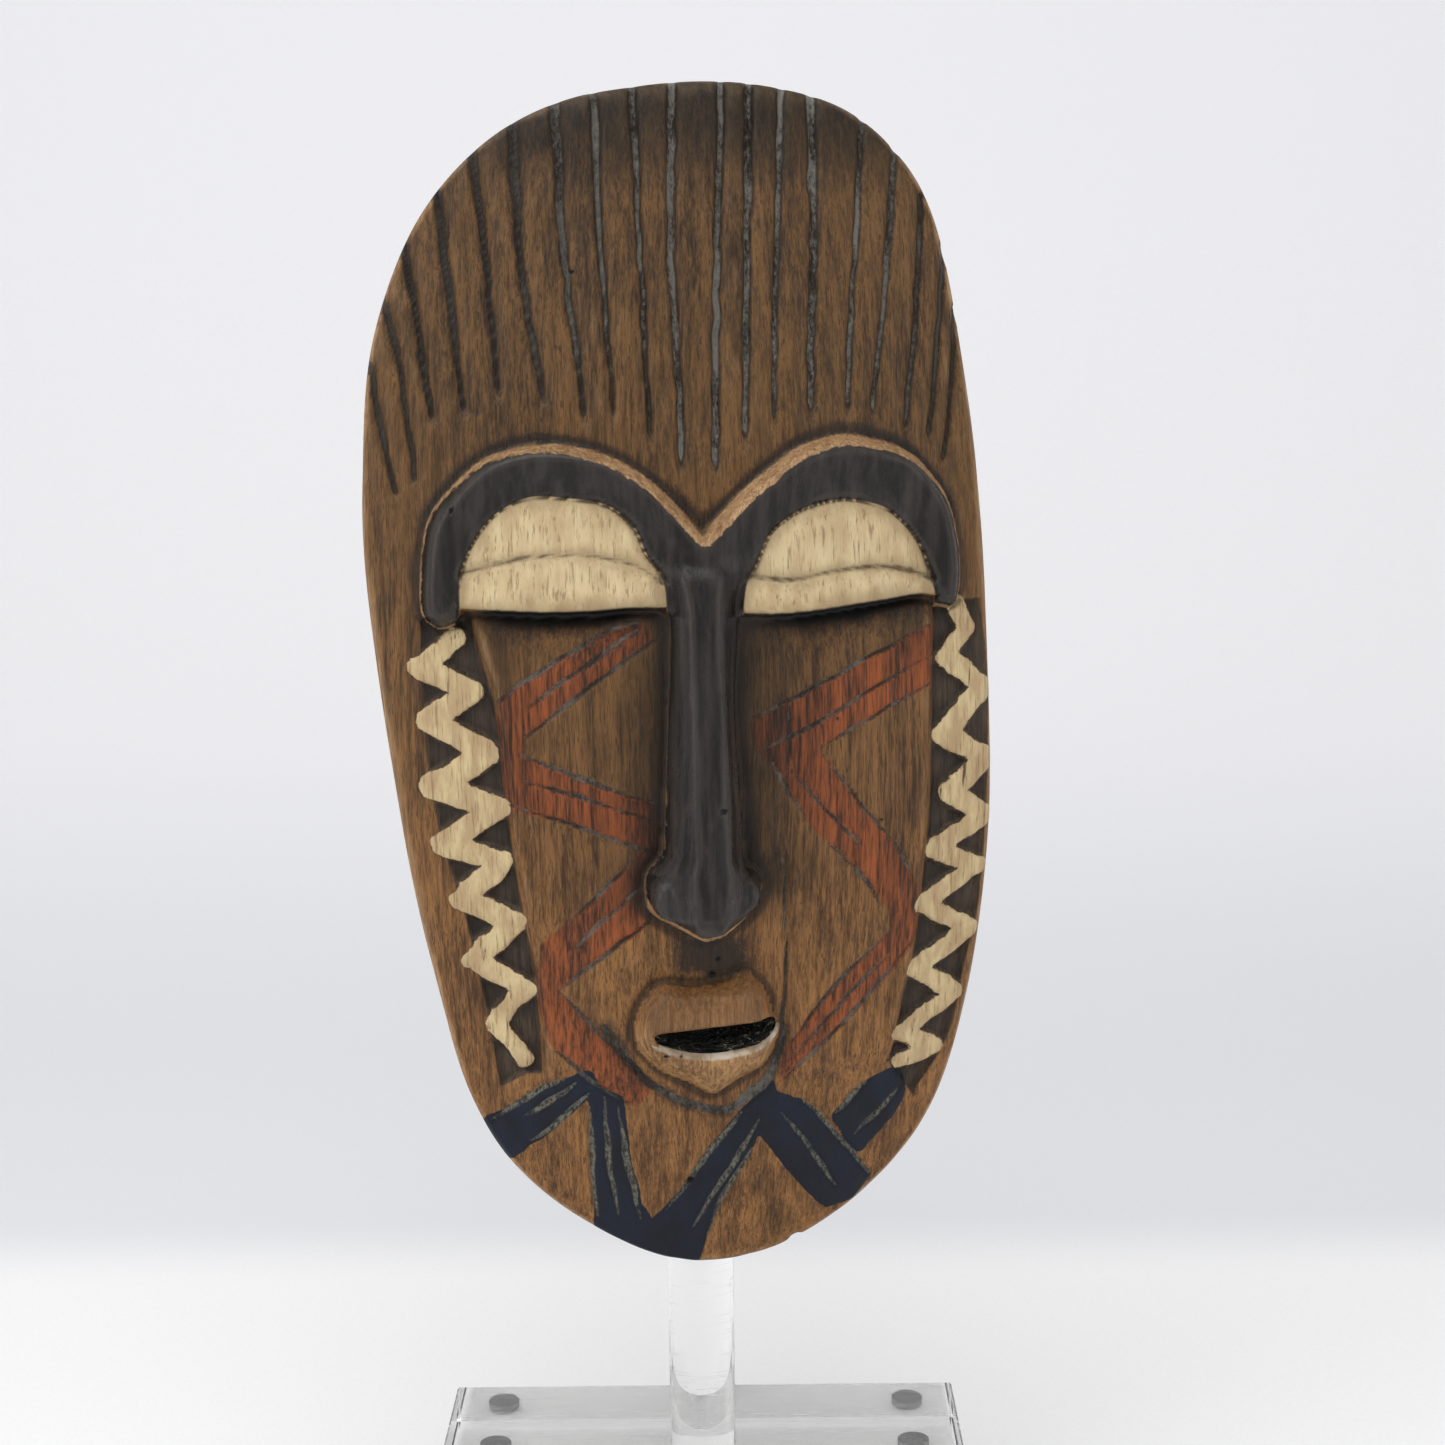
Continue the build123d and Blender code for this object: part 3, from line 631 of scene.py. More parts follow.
def drawn_places(mesh):
    """A mesh's points back as x and y on the drawn face, in millimetres."""
    points = np.empty(len(mesh.vertices) * 3)
    mesh.vertices.foreach_get("co", points)
    points = points.reshape(-1, 3) / MM
    x = MIDDLE_X + (points @ ACROSS - MIDDLE_X) * DRAWN_WIDTH / (STAY_INSIDE * 2 * HALF_WIDTH)
    y = points[:, 2] - mask_low.z / MM - HALF_HEIGHT
    return x, DRAWN_HEIGHT / 2 + y * DRAWN_HEIGHT / (STAY_INSIDE * HEIGHT)


def hollows(mesh, rounds):
    """How deep each point lies below its neighbourhood, in millimetres; ridges are negative."""
    count = len(mesh.vertices)
    points = np.empty(count * 3)
    mesh.vertices.foreach_get("co", points)
    points = points.reshape(-1, 3) / MM
    normals = np.empty(count * 3)
    mesh.vertices.foreach_get("normal", normals)
    edges = np.empty(len(mesh.edges) * 2, int)
    mesh.edges.foreach_get("vertices", edges)
    a, b = edges.reshape(-1, 2).T
    share = np.bincount(np.r_[a, b], minlength=count)[:, None]
    soft = points
    for _ in range(rounds):
        near = np.stack([np.bincount(np.r_[a, b], np.r_[soft[b, i], soft[a, i]], count) for i in range(3)], 1)
        soft = near / share
    return np.einsum("ij,ij->i", soft - points, normals.reshape(-1, 3))


def store(mesh, name, values):
    layer = mesh.attributes.new(name, "FLOAT", "POINT")
    layer.data.foreach_set("value", np.asarray(values, np.float32))


def prism(name, outline, low, high):
    """A closed prism between two depths of the drawn face, used to cut the mouth."""
    outline = np.array(outline)
    after = np.roll(outline, -1, 0)
    if (outline[:, 0] * after[:, 1] - after[:, 0] * outline[:, 1]).sum() < 0:
        outline = outline[::-1]
    x, y = outline.T
    count = len(outline)
    mesh = bpy.data.meshes.new(name)
    points = np.vstack([place(x, y, np.full(count, depth)) for depth in (low, high)])
    sides = [[k, (k + 1) % count, (k + 1) % count + count, k + count] for k in range(count)]
    mesh.from_pydata(points.tolist(), [], sides + [list(range(count))[::-1], list(range(count, 2 * count))])
    return mesh


def new_object(name, mesh):
    thing = bpy.data.objects.new(name, mesh)
    scene.collection.objects.link(thing)
    return thing


def finished_mesh(thing):
    """The mesh of an object with its modifiers used up."""
    bpy.context.view_layer.update()
    shape = bpy.data.meshes.new_from_object(thing.evaluated_get(bpy.context.evaluated_depsgraph_get()))
    thing.modifiers.clear()
    return shape


def cut_away(thing, cutter):
    """Takes the cutter's solid out of the thing's mesh, and the cutter out of the scene."""
    cut = thing.modifiers.new("cut", "BOOLEAN")
    cut.operation = "DIFFERENCE"
    cut.solver = "EXACT"
    cut.object = cutter
    thing.data = finished_mesh(thing)
    bpy.data.objects.remove(cutter)


def carved_mask(materials):
    mask = new_object("carved_mask", mask_mesh())
    cutter = new_object("mouth_cutter", prism("mouth_cutter", MOUTH, MOUTH_FLOOR, 60.0))
    for thing in (mask, cutter):
        for material in materials:
            thing.data.materials.append(material)
    cutter.data.polygons.foreach_set("material_index", [3] * len(cutter.data.polygons))
    cut_away(mask, cutter)
    mesh = mask.data
    mesh.name = "carved_mask"
    x, y = drawn_places(mesh)
    edge = edge_distance(x, y)
    for name, values in carve(x, y, edge)[1].items():
        store(mesh, name, np.clip(values, -30, 30))
    store(mesh, "edge", edge)
    store(mesh, "cavity", hollows(mesh, 3))
    store(mesh, "wide_cavity", hollows(mesh, 24))
    store(mesh, "height", y)
    store(mesh, "across", x)
    mesh.polygons.foreach_set("use_smooth", [True] * len(mesh.polygons))
    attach(mask, "turning")
    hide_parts("mask_shell")
    return mask


# ---------------------------------------------------------------- shader nodes

def rgb(code):
    """An sRGB colour, as six hex digits, in linear light."""
    parts = [int(code[i:i + 2], 16) / 255 for i in (0, 2, 4)]
    return [c / 12.92 if c <= 0.04045 else ((c + 0.055) / 1.055) ** 2.4 for c in parts] + [1.0]


class Nodes:
    """Short ways to make and join the nodes of one material or group."""

    def __init__(self, tree):
        self.tree = tree
        tree.nodes.clear()

    def set(self, socket, value):
        if isinstance(value, bpy.types.NodeSocket):
            self.tree.links.new(value, socket)
        elif isinstance(value, str):
            socket.default_value = rgb(value)
        else:
            socket.default_value = value

    def make(self, kind, *values, **settings):
        node = self.tree.nodes.new("ShaderNode" + kind)
        for name, value in settings.items():
            setattr(node, name, value)
        for socket, value in zip(node.inputs, values):
            if value is not None:
                self.set(socket, value)
        return node

    def mark(self, name):
        return self.make("Attribute", attribute_name=name).outputs["Fac"]

    def place(self):
        return self.make("TexCoord").outputs["Object"]

    def parts(self, vector):
        return self.make("SeparateXYZ", vector).outputs

    def scaled(self, vector, scale, location=(0, 0, 0)):
        return self.make("Mapping", vector, location, None, scale).outputs[0]

    def noise(self, vector, detail=3.0, roughness=0.55):
        node = self.make("TexNoise")
        for name, value in (("Vector", vector), ("Scale", 1.0), ("Detail", detail), ("Roughness", roughness)):
            self.set(node.inputs[name], value)
        return node.outputs["Fac"]

    def pattern(self, scale, shift=(0, 0, 0), detail=3.0, roughness=0.55):
        """Noise on the piece's own coordinates, with its cells per metre along X, Y and Z."""
        return self.noise(self.scaled(self.place(), scale, shift), detail, roughness)

    def math(self, operation, a, b=0.0):
        return self.make("Math", a, b, operation=operation).outputs[0]

    def add(self, a, b):
        return self.math("ADD", a, b)

    def take(self, a, b):
        return self.math("SUBTRACT", a, b)

    def times(self, a, b):
        return self.math("MULTIPLY", a, b)

    def larger(self, *values):
        result = values[0]
        for value in values[1:]:
            result = self.math("MAXIMUM", result, value)
        return result

    def fade(self, value, start, end, low=0.0, high=1.0):
        """Goes smoothly from low at start to high at end."""
        node = self.make("MapRange", value, start, end, low, high, interpolation_type="SMOOTHSTEP")
        return node.outputs[0]

    def mix(self, share, a, b, blend_type="MIX"):
        node = self.make("Mix", data_type="RGBA", blend_type=blend_type)
        for socket, value in ((node.inputs[0], share), (node.inputs[6], a), (node.inputs[7], b)):
            self.set(socket, value)
        return node.outputs[2]

    def group(self, tree, **values):
        node = self.make("Group", node_tree=tree)
        for name, value in values.items():
            self.set(node.inputs[name.replace("_", " ").capitalize()], value)
        return node.outputs


def shader_group(name, inputs, outputs, build):
    """A node group with named inputs and outputs, filled in by build(nodes, inputs)."""
    tree = bpy.data.node_groups.new(name, "ShaderNodeTree")
    for label, value in inputs.items():
        kind = "NodeSocketColor" if isinstance(value, str) else "NodeSocketFloat"
        socket = tree.interface.new_socket(label, in_out="INPUT", socket_type=kind)
        socket.default_value = rgb(value) if isinstance(value, str) else value
    for label, kind in outputs.items():
        tree.interface.new_socket(label, in_out="OUTPUT", socket_type="NodeSocket" + kind)
    nodes = Nodes(tree)
    given = tree.nodes.new("NodeGroupInput").outputs
    result = tree.nodes.new("NodeGroupOutput").inputs
    for label, socket in build(nodes, given).items():
        nodes.set(result[label], socket)
    return tree


def build_grain(n, given):
    """Straight wood grain: soft broad streaks, fine streaks and short open pores, all upright."""
    where = n.place()
    bend = n.pattern((30, 30, 6), detail=2)
    moved = n.make("VectorMath", where, operation="ADD")
    shift = n.make("CombineXYZ", n.times(n.take(bend, 0.5), 0.006), n.times(n.take(bend, 0.5), 0.004), 0.0)
    n.set(moved.inputs[1], shift.outputs[0])
    grown = n.make("VectorMath", moved.outputs[0], operation="SCALE")
    n.set(grown.inputs["Scale"], given["Scale"])
    grown = grown.outputs[0]
    broad = n.noise(n.scaled(grown, (150, 150, 12)), detail=3)
    fine = n.noise(n.scaled(grown, (900, 900, 44)), detail=4, roughness=0.7)
    pores = n.noise(n.scaled(grown, (1900, 1900, 150), (3, 1, 2)), detail=2, roughness=0.6)
    streak = n.add(n.add(n.times(broad, 0.25), n.times(fine, 0.45)), n.times(pores, 0.3))
    pore = n.fade(pores, 0.56, 0.66)
    tone = n.mix(n.fade(streak, 0.38, 0.62), given["Dark"], given["Light"])
    tone = n.mix(n.times(pore, given["Pores"]), tone, given["Pore colour"])
    height = n.take(n.times(n.take(fine, 0.5), 0.7), n.times(pore, 0.8))
    return {"Color": tone, "Height": height, "Streak": streak, "Pore": pore}


def build_brushed_edge(n, given):
    """Where hand-brushed paint lies: inside its outline, with a wavering edge and dry-brush gaps."""
    waver = n.pattern((420, 420, 420), detail=4, roughness=0.6)
    line = n.add(given["Distance"], n.times(n.take(waver, 0.5), given["Waver"]))
    inside_line = n.fade(line, given["Softness"], n.times(given["Softness"], -1.0))
    bristles = n.pattern((1300, 1300, 70), (7, 0, 1), detail=3, roughness=0.7)
    patches = n.pattern((120, 120, 50), (0, 5, 0), detail=3)
    dry = n.add(n.times(bristles, 0.62), n.times(patches, 0.38))
    covered = n.fade(n.take(given["Cover"], dry), -0.05, 0.05)
    return {"Mask": n.times(inside_line, covered), "Bristles": bristles}


def build_grime_and_shade(n, given):
    """Darkening where its input is high, broken up by fine noise: dirt in the hollows, and on the face also
    painted shade.
    """
    speck = n.pattern((900, 900, 900), detail=4, roughness=0.7)
    cloud = n.pattern((70, 70, 40), (2, 2, 2), detail=3)
    level = n.add(given["Hollow"], n.times(n.take(speck, 0.5), given["Break up"]))
    level = n.add(level, n.times(n.take(cloud, 0.5), given["Break up"]))
    return {"Mask": n.times(n.fade(level, given["Low"], given["High"]), given["Amount"]), "Speck": speck}


def build_scuffs(n, given):
    """Hairline scratches and faint smears on a polished surface."""
    where = n.place()
    lines = []
    for turn, shift in ((0.35, 0.0), (-0.6, 3.0), (1.25, 7.0)):
        angles = (turn, turn * 0.7, turn)
        turned = n.make("Mapping", where, (shift, shift, 0), angles, (60, 2600, 2600)).outputs[0]
        lines.append(n.fade(n.noise(turned, detail=1), 0.70, 0.76))
    scratch = n.larger(*lines)
    smear = n.pattern((38, 38, 26), detail=3)
    rough = n.add(n.times(scratch, given["Scratches"]), n.times(n.fade(smear, 0.45, 0.75), given["Smears"]))
    return {"Roughness": n.add(rough, given["Polish"]), "Height": n.times(scratch, -1.0)}


GRAIN = shader_group(
    "wood_grain", {"Scale": 1.0, "Dark": "3A2616", "Light": "7A5230", "Pore colour": "1E130B", "Pores": 0.8},
    {"Color": "Color", "Height": "Float", "Streak": "Float", "Pore": "Float"}, build_grain)
BRUSHED = shader_group(
    "brushed_paint", {"Distance": 0.0, "Waver": 1.0, "Softness": 0.15, "Cover": 1.0},
    {"Mask": "Float", "Bristles": "Float"}, build_brushed_edge)
GRIME_AND_SHADE = shader_group(
    "settled_grime_and_shade", {"Hollow": 0.0, "Low": 0.1, "High": 0.5, "Break up": 0.2, "Amount": 1.0},
    {"Mask": "Float", "Speck": "Float"}, build_grime_and_shade)
SCUFFS = shader_group(
    "hairline_scuffs", {"Scratches": 0.2, "Smears": 0.05, "Polish": 0.02},
    {"Roughness": "Float", "Height": "Float"}, build_scuffs)


def material(name):
    made = bpy.data.materials.new(name)
    made.use_nodes = True
    nodes = Nodes(made.node_tree)
    surface = nodes.make("BsdfPrincipled")
    out = nodes.make("OutputMaterial")
    nodes.tree.links.new(surface.outputs[0], out.inputs[0])
    return made, nodes, surface.inputs


def bump(n, surface, height, distance, strength=1.0):
    node = n.make("Bump")
    node.inputs["Strength"].default_value = strength
    node.inputs["Distance"].default_value = distance
    n.set(node.inputs["Height"], height)
    n.set(surface["Normal"], node.outputs[0])


# ---------------------------------------------------------------- the mask's finishes

def painted_front():
    """The carved face: stained wood with black, cream, orange and navy paint and old dirt in the cuts, with
    painted shadow under the lids and painted shade beside the nose and over the soft side of the hair
    grooves.
    """
    made, n, surface = material("painted_carving")
    height = n.mark("height")
    cloud = n.pattern((22, 22, 12), (4, 0, 0), detail=4)
    blotch = n.pattern((90, 90, 60), (0, 3, 0), detail=4, roughness=0.6)

    # stained wood, darker on the forehead and more golden at the chin
    dark = n.mix(n.fade(height, 20, 240), "482E16", "2B1D10")
    light = n.mix(n.fade(height, 30, 250), "986A3C", "6E4E2B")
    grain = n.group(GRAIN, dark=dark, light=light, pore_colour="160F09", pores=0.7)
    wood = grain["Color"]
    wood = n.mix(n.fade(cloud, 0.42, 0.72, 0.0, 0.5), wood, n.mix(0.4, wood, "8A6232"))
    wood = n.mix(n.fade(blotch, 0.52, 0.78, 0.0, 0.6), wood, n.mix(0.55, wood, "20160D"))

    # bare wood on the high edges
    fine_ridge = n.times(n.mark("cavity"), -1.0)
    wide_ridge = n.times(n.mark("wide_cavity"), -1.0)
    rub = n.pattern((160, 160, 60), (1, 8, 1), detail=4, roughness=0.65)
    rim_wear = n.times(n.fade(n.add(n.mark("edge"), n.times(n.take(rub, 0.5), 2.5)), 1.7, 0.3), 0.8)
    ridge_wear = n.fade(n.add(wide_ridge, n.times(n.take(rub, 0.5), 0.8)), 0.45, 1.0, 0.0, 0.35)
    bare = n.group(GRAIN, scale=0.9, dark="7E5C3A", light="BE9A72", pore_colour="4C321E", pores=0.5)["Color"]
    body = n.mix(n.larger(rim_wear, ridge_wear), wood, bare)

    # orange stain bands, worn thin along the grain
    orange = n.group(BRUSHED, distance=n.mark("orange"), waver=1.6, softness=0.35, cover=0.70)
    orange_tone = n.mix(n.fade(grain["Streak"], 0.38, 0.64), "2C170C", "9A4E24")
    body = n.mix(n.times(orange["Mask"], 0.86), body, orange_tone)

    # painted shade with stain darkens the cheeks beside the nose; stain darkens the top of the crown
    stain_and_shade = n.add(n.mark("stain"), n.times(n.take(blotch, 0.5), 0.5))
    body = n.mix(n.fade(stain_and_shade, 0.05, 0.95), body, n.mix(1.0, body, "7F8588", blend_type="MULTIPLY"))

    # side strips, darkened between the zigzag's teeth
    strip = n.group(BRUSHED, distance=n.mark("strip"), waver=0.8, softness=0.3, cover=0.9)
    strip_tone = n.mix(n.fade(grain["Streak"], 0.36, 0.64), "1C1611", "4A3F33")
    body = n.mix(n.times(strip["Mask"], 0.9), body, strip_tone)

    # lips are rubbed paler, most of all below the mouth and along its lower edge
    lips = n.fade(n.mark("lips"), 0.6, -1.6)
    lip_light = n.mix(n.fade(height, 79, 69), "8E6640", "B88E5E")
    lip_tone = n.group(GRAIN, dark="5E4024", light=lip_light, pore_colour="3A2716", pores=0.5)["Color"]
    body = n.mix(n.times(lips, 0.88), body, lip_tone)
    lip_edge = n.group(BRUSHED, distance=n.mark("lip_edge"), waver=0.9, softness=0.35, cover=0.78)
    body = n.mix(n.times(lip_edge["Mask"], 0.8), body, n.mix(n.fade(rub, 0.35, 0.65), "8A7A64", "C8BFAE"))

    # navy bands
    navy = n.group(BRUSHED, distance=n.mark("navy"), waver=1.0, softness=0.15, cover=0.84)
    navy_tone = n.mix(n.fade(blotch, 0.3, 0.7), "040813", "0C1526")
    body = n.mix(navy["Mask"], body, navy_tone)

    # cream zigzags and eyelids, scratched along the grain
    zigzag = n.group(BRUSHED, distance=n.mark("zigzag"), waver=1.7, softness=0.16, cover=0.66)
    cream_patch = n.pattern((260, 260, 90), (9, 0, 4), detail=4)
    scratch = n.fade(zigzag["Bristles"], 0.52, 0.66)
    cream = n.mix(n.fade(cream_patch, 0.35, 0.7), "AE9470", "CBB78C")
    cream = n.mix(n.times(scratch, 0.5), cream, "6E5234")
    body = n.mix(zigzag["Mask"], body, cream)
    lid = n.group(BRUSHED, distance=n.mark("lid"), waver=0.5, softness=0.3, cover=0.74)
    lid_tone = n.mix(n.fade(cream_patch, 0.3, 0.7), "B8A07A", "CDBA92")
    lid_edge = n.fade(n.add(n.mark("lid"), n.times(n.take(rub, 0.5), 9.0)), -5.0, -0.2, 0.0, 0.75)
    lid_fold = n.fade(n.add(n.mark("crease"), n.times(n.take(rub, 0.5), 9.0)), 3.6, 0.0, 0.0, 0.5)
    lid_edge = n.larger(lid_edge, lid_fold)
    lid_tone = n.mix(n.times(n.larger(scratch, lid_edge), 0.6), lid_tone, "6E5638")
    body = n.mix(lid["Mask"], body, lid_tone)

    # black brow and nose, worn through along the brow's outer edge and under the tip
    on_ridge = n.fade(n.mark("black"), 0.15, -0.25)
    body = n.mix(n.times(on_ridge, 0.9), body, bare)
    worn = n.math("MULTIPLY", n.mark("worn"), -1.0)
    black = n.group(BRUSHED, distance=worn, waver=1.9, softness=0.2, cover=0.86)
    black_tone = n.mix(n.fade(n.pattern((330, 330, 26), detail=3), 0.35, 0.7), "161311", "302B2A")
    black_tone = n.mix(n.fade(fine_ridge, 0.03, 0.2, 0.0, 0.3), black_tone, "4A433C")
    black_tone = n.mix(n.times(n.fade(rub, 0.56, 0.7), 0.3), black_tone, "4A4038")
    body = n.mix(n.times(black["Mask"], on_ridge), body, black_tone)

    # painted shadow under the lids and painted shade beside the nose, with stain and darker patches
    # elsewhere, darker broad hollows, and a dark brushed line in each crease
    soot_and_shade = n.group(GRIME_AND_SHADE, hollow=n.mark("soot_and_shade"), low=0.2, high=0.9, break_up=0.95, amount=0.9)
    off_lids = n.fade(n.mark("lid"), -0.8, 0.3)
    body = n.mix(n.times(soot_and_shade["Mask"], off_lids), body, n.mix(soot_and_shade["Speck"], "080605", "2A231C"))
    pocket = n.group(GRIME_AND_SHADE, hollow=n.mark("wide_cavity"), low=0.3, high=1.1, break_up=0.4, amount=0.65)
    body = n.mix(n.times(pocket["Mask"], n.fade(n.mark("lid"), -3.0, 0.3, 0.35, 1.0)), body, "1B130D")
    # painted shadow: near black just under each lid's overhanging edge
    shade = n.fade(n.add(n.mark("under"), n.times(n.take(rub, 0.5), 0.5)), 0.30, 0.72)
    body = n.mix(n.times(shade, off_lids), body, "050403")
    crease = n.group(BRUSHED, distance=n.mark("crease"), waver=1.8, softness=0.6, cover=0.60)
    body = n.mix(n.times(crease["Mask"], 0.8), body, "3E2E1E")

    # the cuts: dark sides, with painted shade over the soft side of the hair grooves, and a dusty grey floor
    # that comes and goes along them
    dust = n.pattern((1100, 1100, 600), (5, 5, 0), detail=4, roughness=0.75)
    drift = n.pattern((140, 140, 55), (6, 1, 9), detail=3)
    middle = n.fade(n.math("ABSOLUTE", n.take(n.mark("across"), 12.0)), 66, 24, 0.15, 1.0)
    dusty = n.times(n.fade(n.add(n.times(drift, 0.5), n.times(dust, 0.5)), 0.40, 0.58), middle)
    hair_mark = n.mark("hair")
    hair = n.group(BRUSHED, distance=hair_mark, waver=1.3, softness=0.45, cover=0.90)
    hair_floor = n.mix(n.times(dusty, n.fade(hair_mark, -0.1, -0.65)), "231C16", "77746D")
    body = n.mix(n.times(hair["Mask"], 0.9), body, hair_floor)
    cut_mark = n.math("MINIMUM", n.mark("cut"), n.mark("chin"))
    cuts = n.group(BRUSHED, distance=cut_mark, waver=0.5, softness=0.35, cover=0.86)
    cut_floor = n.mix(n.fade(n.add(n.times(drift, 0.6), n.times(dust, 0.4)), 0.42, 0.66), "1C1611", "6C6962")
    body = n.mix(n.times(cuts["Mask"], 0.88), body, cut_floor)
    navy_cuts = n.group(BRUSHED, distance=n.mark("navy_cut"), waver=0.6, softness=0.3, cover=0.70)
    body = n.mix(n.times(navy_cuts["Mask"], 0.85), body, n.mix(n.fade(dust, 0.4, 0.62), "2E2E2A", "7C796A"))
    body = n.mix(n.fade(n.mark("holes"), 0.35, 0.0), body, "040302")

    n.set(surface["Base Color"], body)
    paint = n.larger(black["Mask"], n.times(navy["Mask"], 0.8))
    cream_mask = n.larger(zigzag["Mask"], lid["Mask"])
    rough = n.mix(n.times(paint, on_ridge), "BDBDBD", "8F8F8F")
    rough = n.mix(cream_mask, rough, "D0D0D0")
    rough = n.add(rough, n.times(n.take(blotch, 0.5), 0.25))
    n.set(surface["Roughness"], rough)
    surface["Specular IOR Level"].default_value = 0.28

    # relief under the knife and brush: grain, pores, brush marks and the thickness of the paint
    knife = n.pattern((260, 260, 70), (3, 3, 3), detail=3)
    relief = n.add(n.times(grain["Height"], n.add(n.times(paint, -0.75), 1.0)), n.times(knife, 0.7))
    relief = n.add(relief, n.times(cream_mask, n.add(n.times(zigzag["Bristles"], 0.5), 0.8)))
    relief = n.add(relief, n.times(n.larger(hair["Mask"], cuts["Mask"]), n.times(dust, 0.5)))
    bump(n, surface, relief, 0.00028, 0.8)
    return made


def rubbed_wall():
    """The side wall: pale wood rubbed bare, with brown stain left in streaks."""
    made, n, surface = material("rubbed_side_wall")
    grain = n.group(GRAIN, scale=1.1, dark="6A4A30", light="B08A64", pore_colour="3A2618", pores=0.7)
    stain = n.pattern((70, 70, 24), (2, 6, 0), detail=5, roughness=0.65)
    body = n.mix(n.fade(stain, 0.46, 0.62, 0.0, 0.75), grain["Color"], "4C3320")
    dirt = n.group(GRIME_AND_SHADE, hollow=n.mark("wide_cavity"), low=0.2, high=0.8, amount=0.6)
    body = n.mix(dirt["Mask"], body, "2A1C12")
    n.set(surface["Base Color"], body)
    n.set(surface["Roughness"], n.fade(stain, 0.3, 0.7, 0.72, 0.86))
    bump(n, surface, n.add(grain["Height"], n.times(stain, 1.5)), 0.0003, 0.8)
    return made


def raw_hollow():
    """The hollow back: bare wood with gouge marks and old handling stains."""
    made, n, surface = material("gouged_hollow")
    grain = n.group(GRAIN, scale=0.85, dark="6E4C2E", light="A47A50", pore_colour="3C2816", pores=0.8)
    stain = n.pattern((24, 24, 14), (8, 2, 5), detail=5, roughness=0.6)
    body = n.mix(n.fade(stain, 0.45, 0.72, 0.0, 0.6), grain["Color"], "54381F")
    dirt = n.group(GRIME_AND_SHADE, hollow=n.mark("wide_cavity"), low=0.15, high=0.9, break_up=0.3, amount=0.6)
    body = n.mix(dirt["Mask"], body, "332113")
    n.set(surface["Base Color"], body)
    n.set(surface["Roughness"], n.fade(grain["Streak"], 0.3, 0.7, 0.78, 0.9))
    bump(n, surface, n.add(grain["Height"], n.times(stain, 0.8)), 0.0004, 0.9)
    return made


def mouth_lining():
    """The walls and floor of the mouth: thick black paint, still wet-looking where it has pooled and run,
    with thin pale squiggles painted on as highlights.
    """
    made, n, surface = material("blackened_mouth")
    grain = n.group(GRAIN, dark="060504", light="14110D", pores=0.5)
    grey = n.pattern((300, 300, 300), (2, 0, 2), detail=3)
    pooled = n.pattern((150, 150, 150), (7, 7, 7), detail=2)
    # painted highlights: thin pale squiggles on the pooled paint
    glint_line = n.math("ABSOLUTE", n.take(n.pattern((170, 170, 340), (3, 1, 5), detail=2), 0.5))
    painted_glint = n.times(n.fade(glint_line, 0.014, 0.004), n.fade(pooled, 0.45, 0.52, 0.0, 0.85))
    lining = n.mix(n.fade(grey, 0.55, 0.75, 0.0, 0.5), grain["Color"], "3A3A30")
    n.set(surface["Base Color"], n.mix(painted_glint, lining, "B9B498"))
    n.set(surface["Roughness"], n.fade(pooled, 0.45, 0.6, 0.16, 0.7))
    runs = n.pattern((420, 420, 700), (1, 9, 3), detail=3)
    bump(n, surface, n.add(n.times(runs, 6.0), grain["Height"]), 0.0005, 1.0)
    return made


# ---------------------------------------------------------------- the stand's finishes

def clear_acrylic(name, tint, polish, scratches):
    made, n, surface = material(name)
    scuffs = n.group(SCUFFS, scratches=scratches, smears=0.03, polish=polish)
    fleck = n.pattern((500, 500, 500), detail=2)
    n.set(surface["Base Color"], n.mix(n.fade(fleck, 0.72, 0.8, 0.0, 0.25), tint, "E6E4DE"))
    n.set(surface["Roughness"], scuffs["Roughness"])
    surface["Transmission Weight"].default_value = 1.0
    surface["IOR"].default_value = 1.49
    bump(n, surface, scuffs["Height"], 0.00004, 0.35)
    return made


def brass():
    made, n, surface = material("dull_brass")
    tarnish = n.pattern((520, 520, 520), detail=4, roughness=0.65)
    n.set(surface["Base Color"], n.mix(n.fade(tarnish, 0.4, 0.7), "C9A45A", "7A5A2C"))
    surface["Metallic"].default_value = 1.0
    n.set(surface["Roughness"], n.fade(tarnish, 0.3, 0.75, 0.26, 0.52))
    bump(n, surface, n.pattern((2600, 2600, 2600), detail=3), 0.00003, 0.6)
    return made


def satin_steel():
    made, n, surface = material("satin_steel")
    brushed = n.pattern((4200, 300, 300), detail=3, roughness=0.7)
    spots = n.pattern((700, 700, 700), (4, 4, 4), detail=3)
    n.set(surface["Base Color"], n.mix(n.fade(spots, 0.5, 0.75), "A9AAAC", "76736E"))
    surface["Metallic"].default_value = 1.0
    n.set(surface["Roughness"], n.fade(brushed, 0.25, 0.75, 0.24, 0.44))
    bump(n, surface, brushed, 0.00003, 0.6)
    return made


def grey_rubber():
    made, n, surface = material("grey_rubber")
    dust = n.pattern((650, 650, 650), detail=4, roughness=0.7)
    n.set(surface["Base Color"], n.mix(n.fade(dust, 0.42, 0.7), "5E5E5D", "868580"))
    n.set(surface["Roughness"], n.fade(dust, 0.3, 0.7, 0.62, 0.82))
    bump(n, surface, n.pattern((3800, 3800, 3800), detail=2), 0.00004, 0.7)
    return made


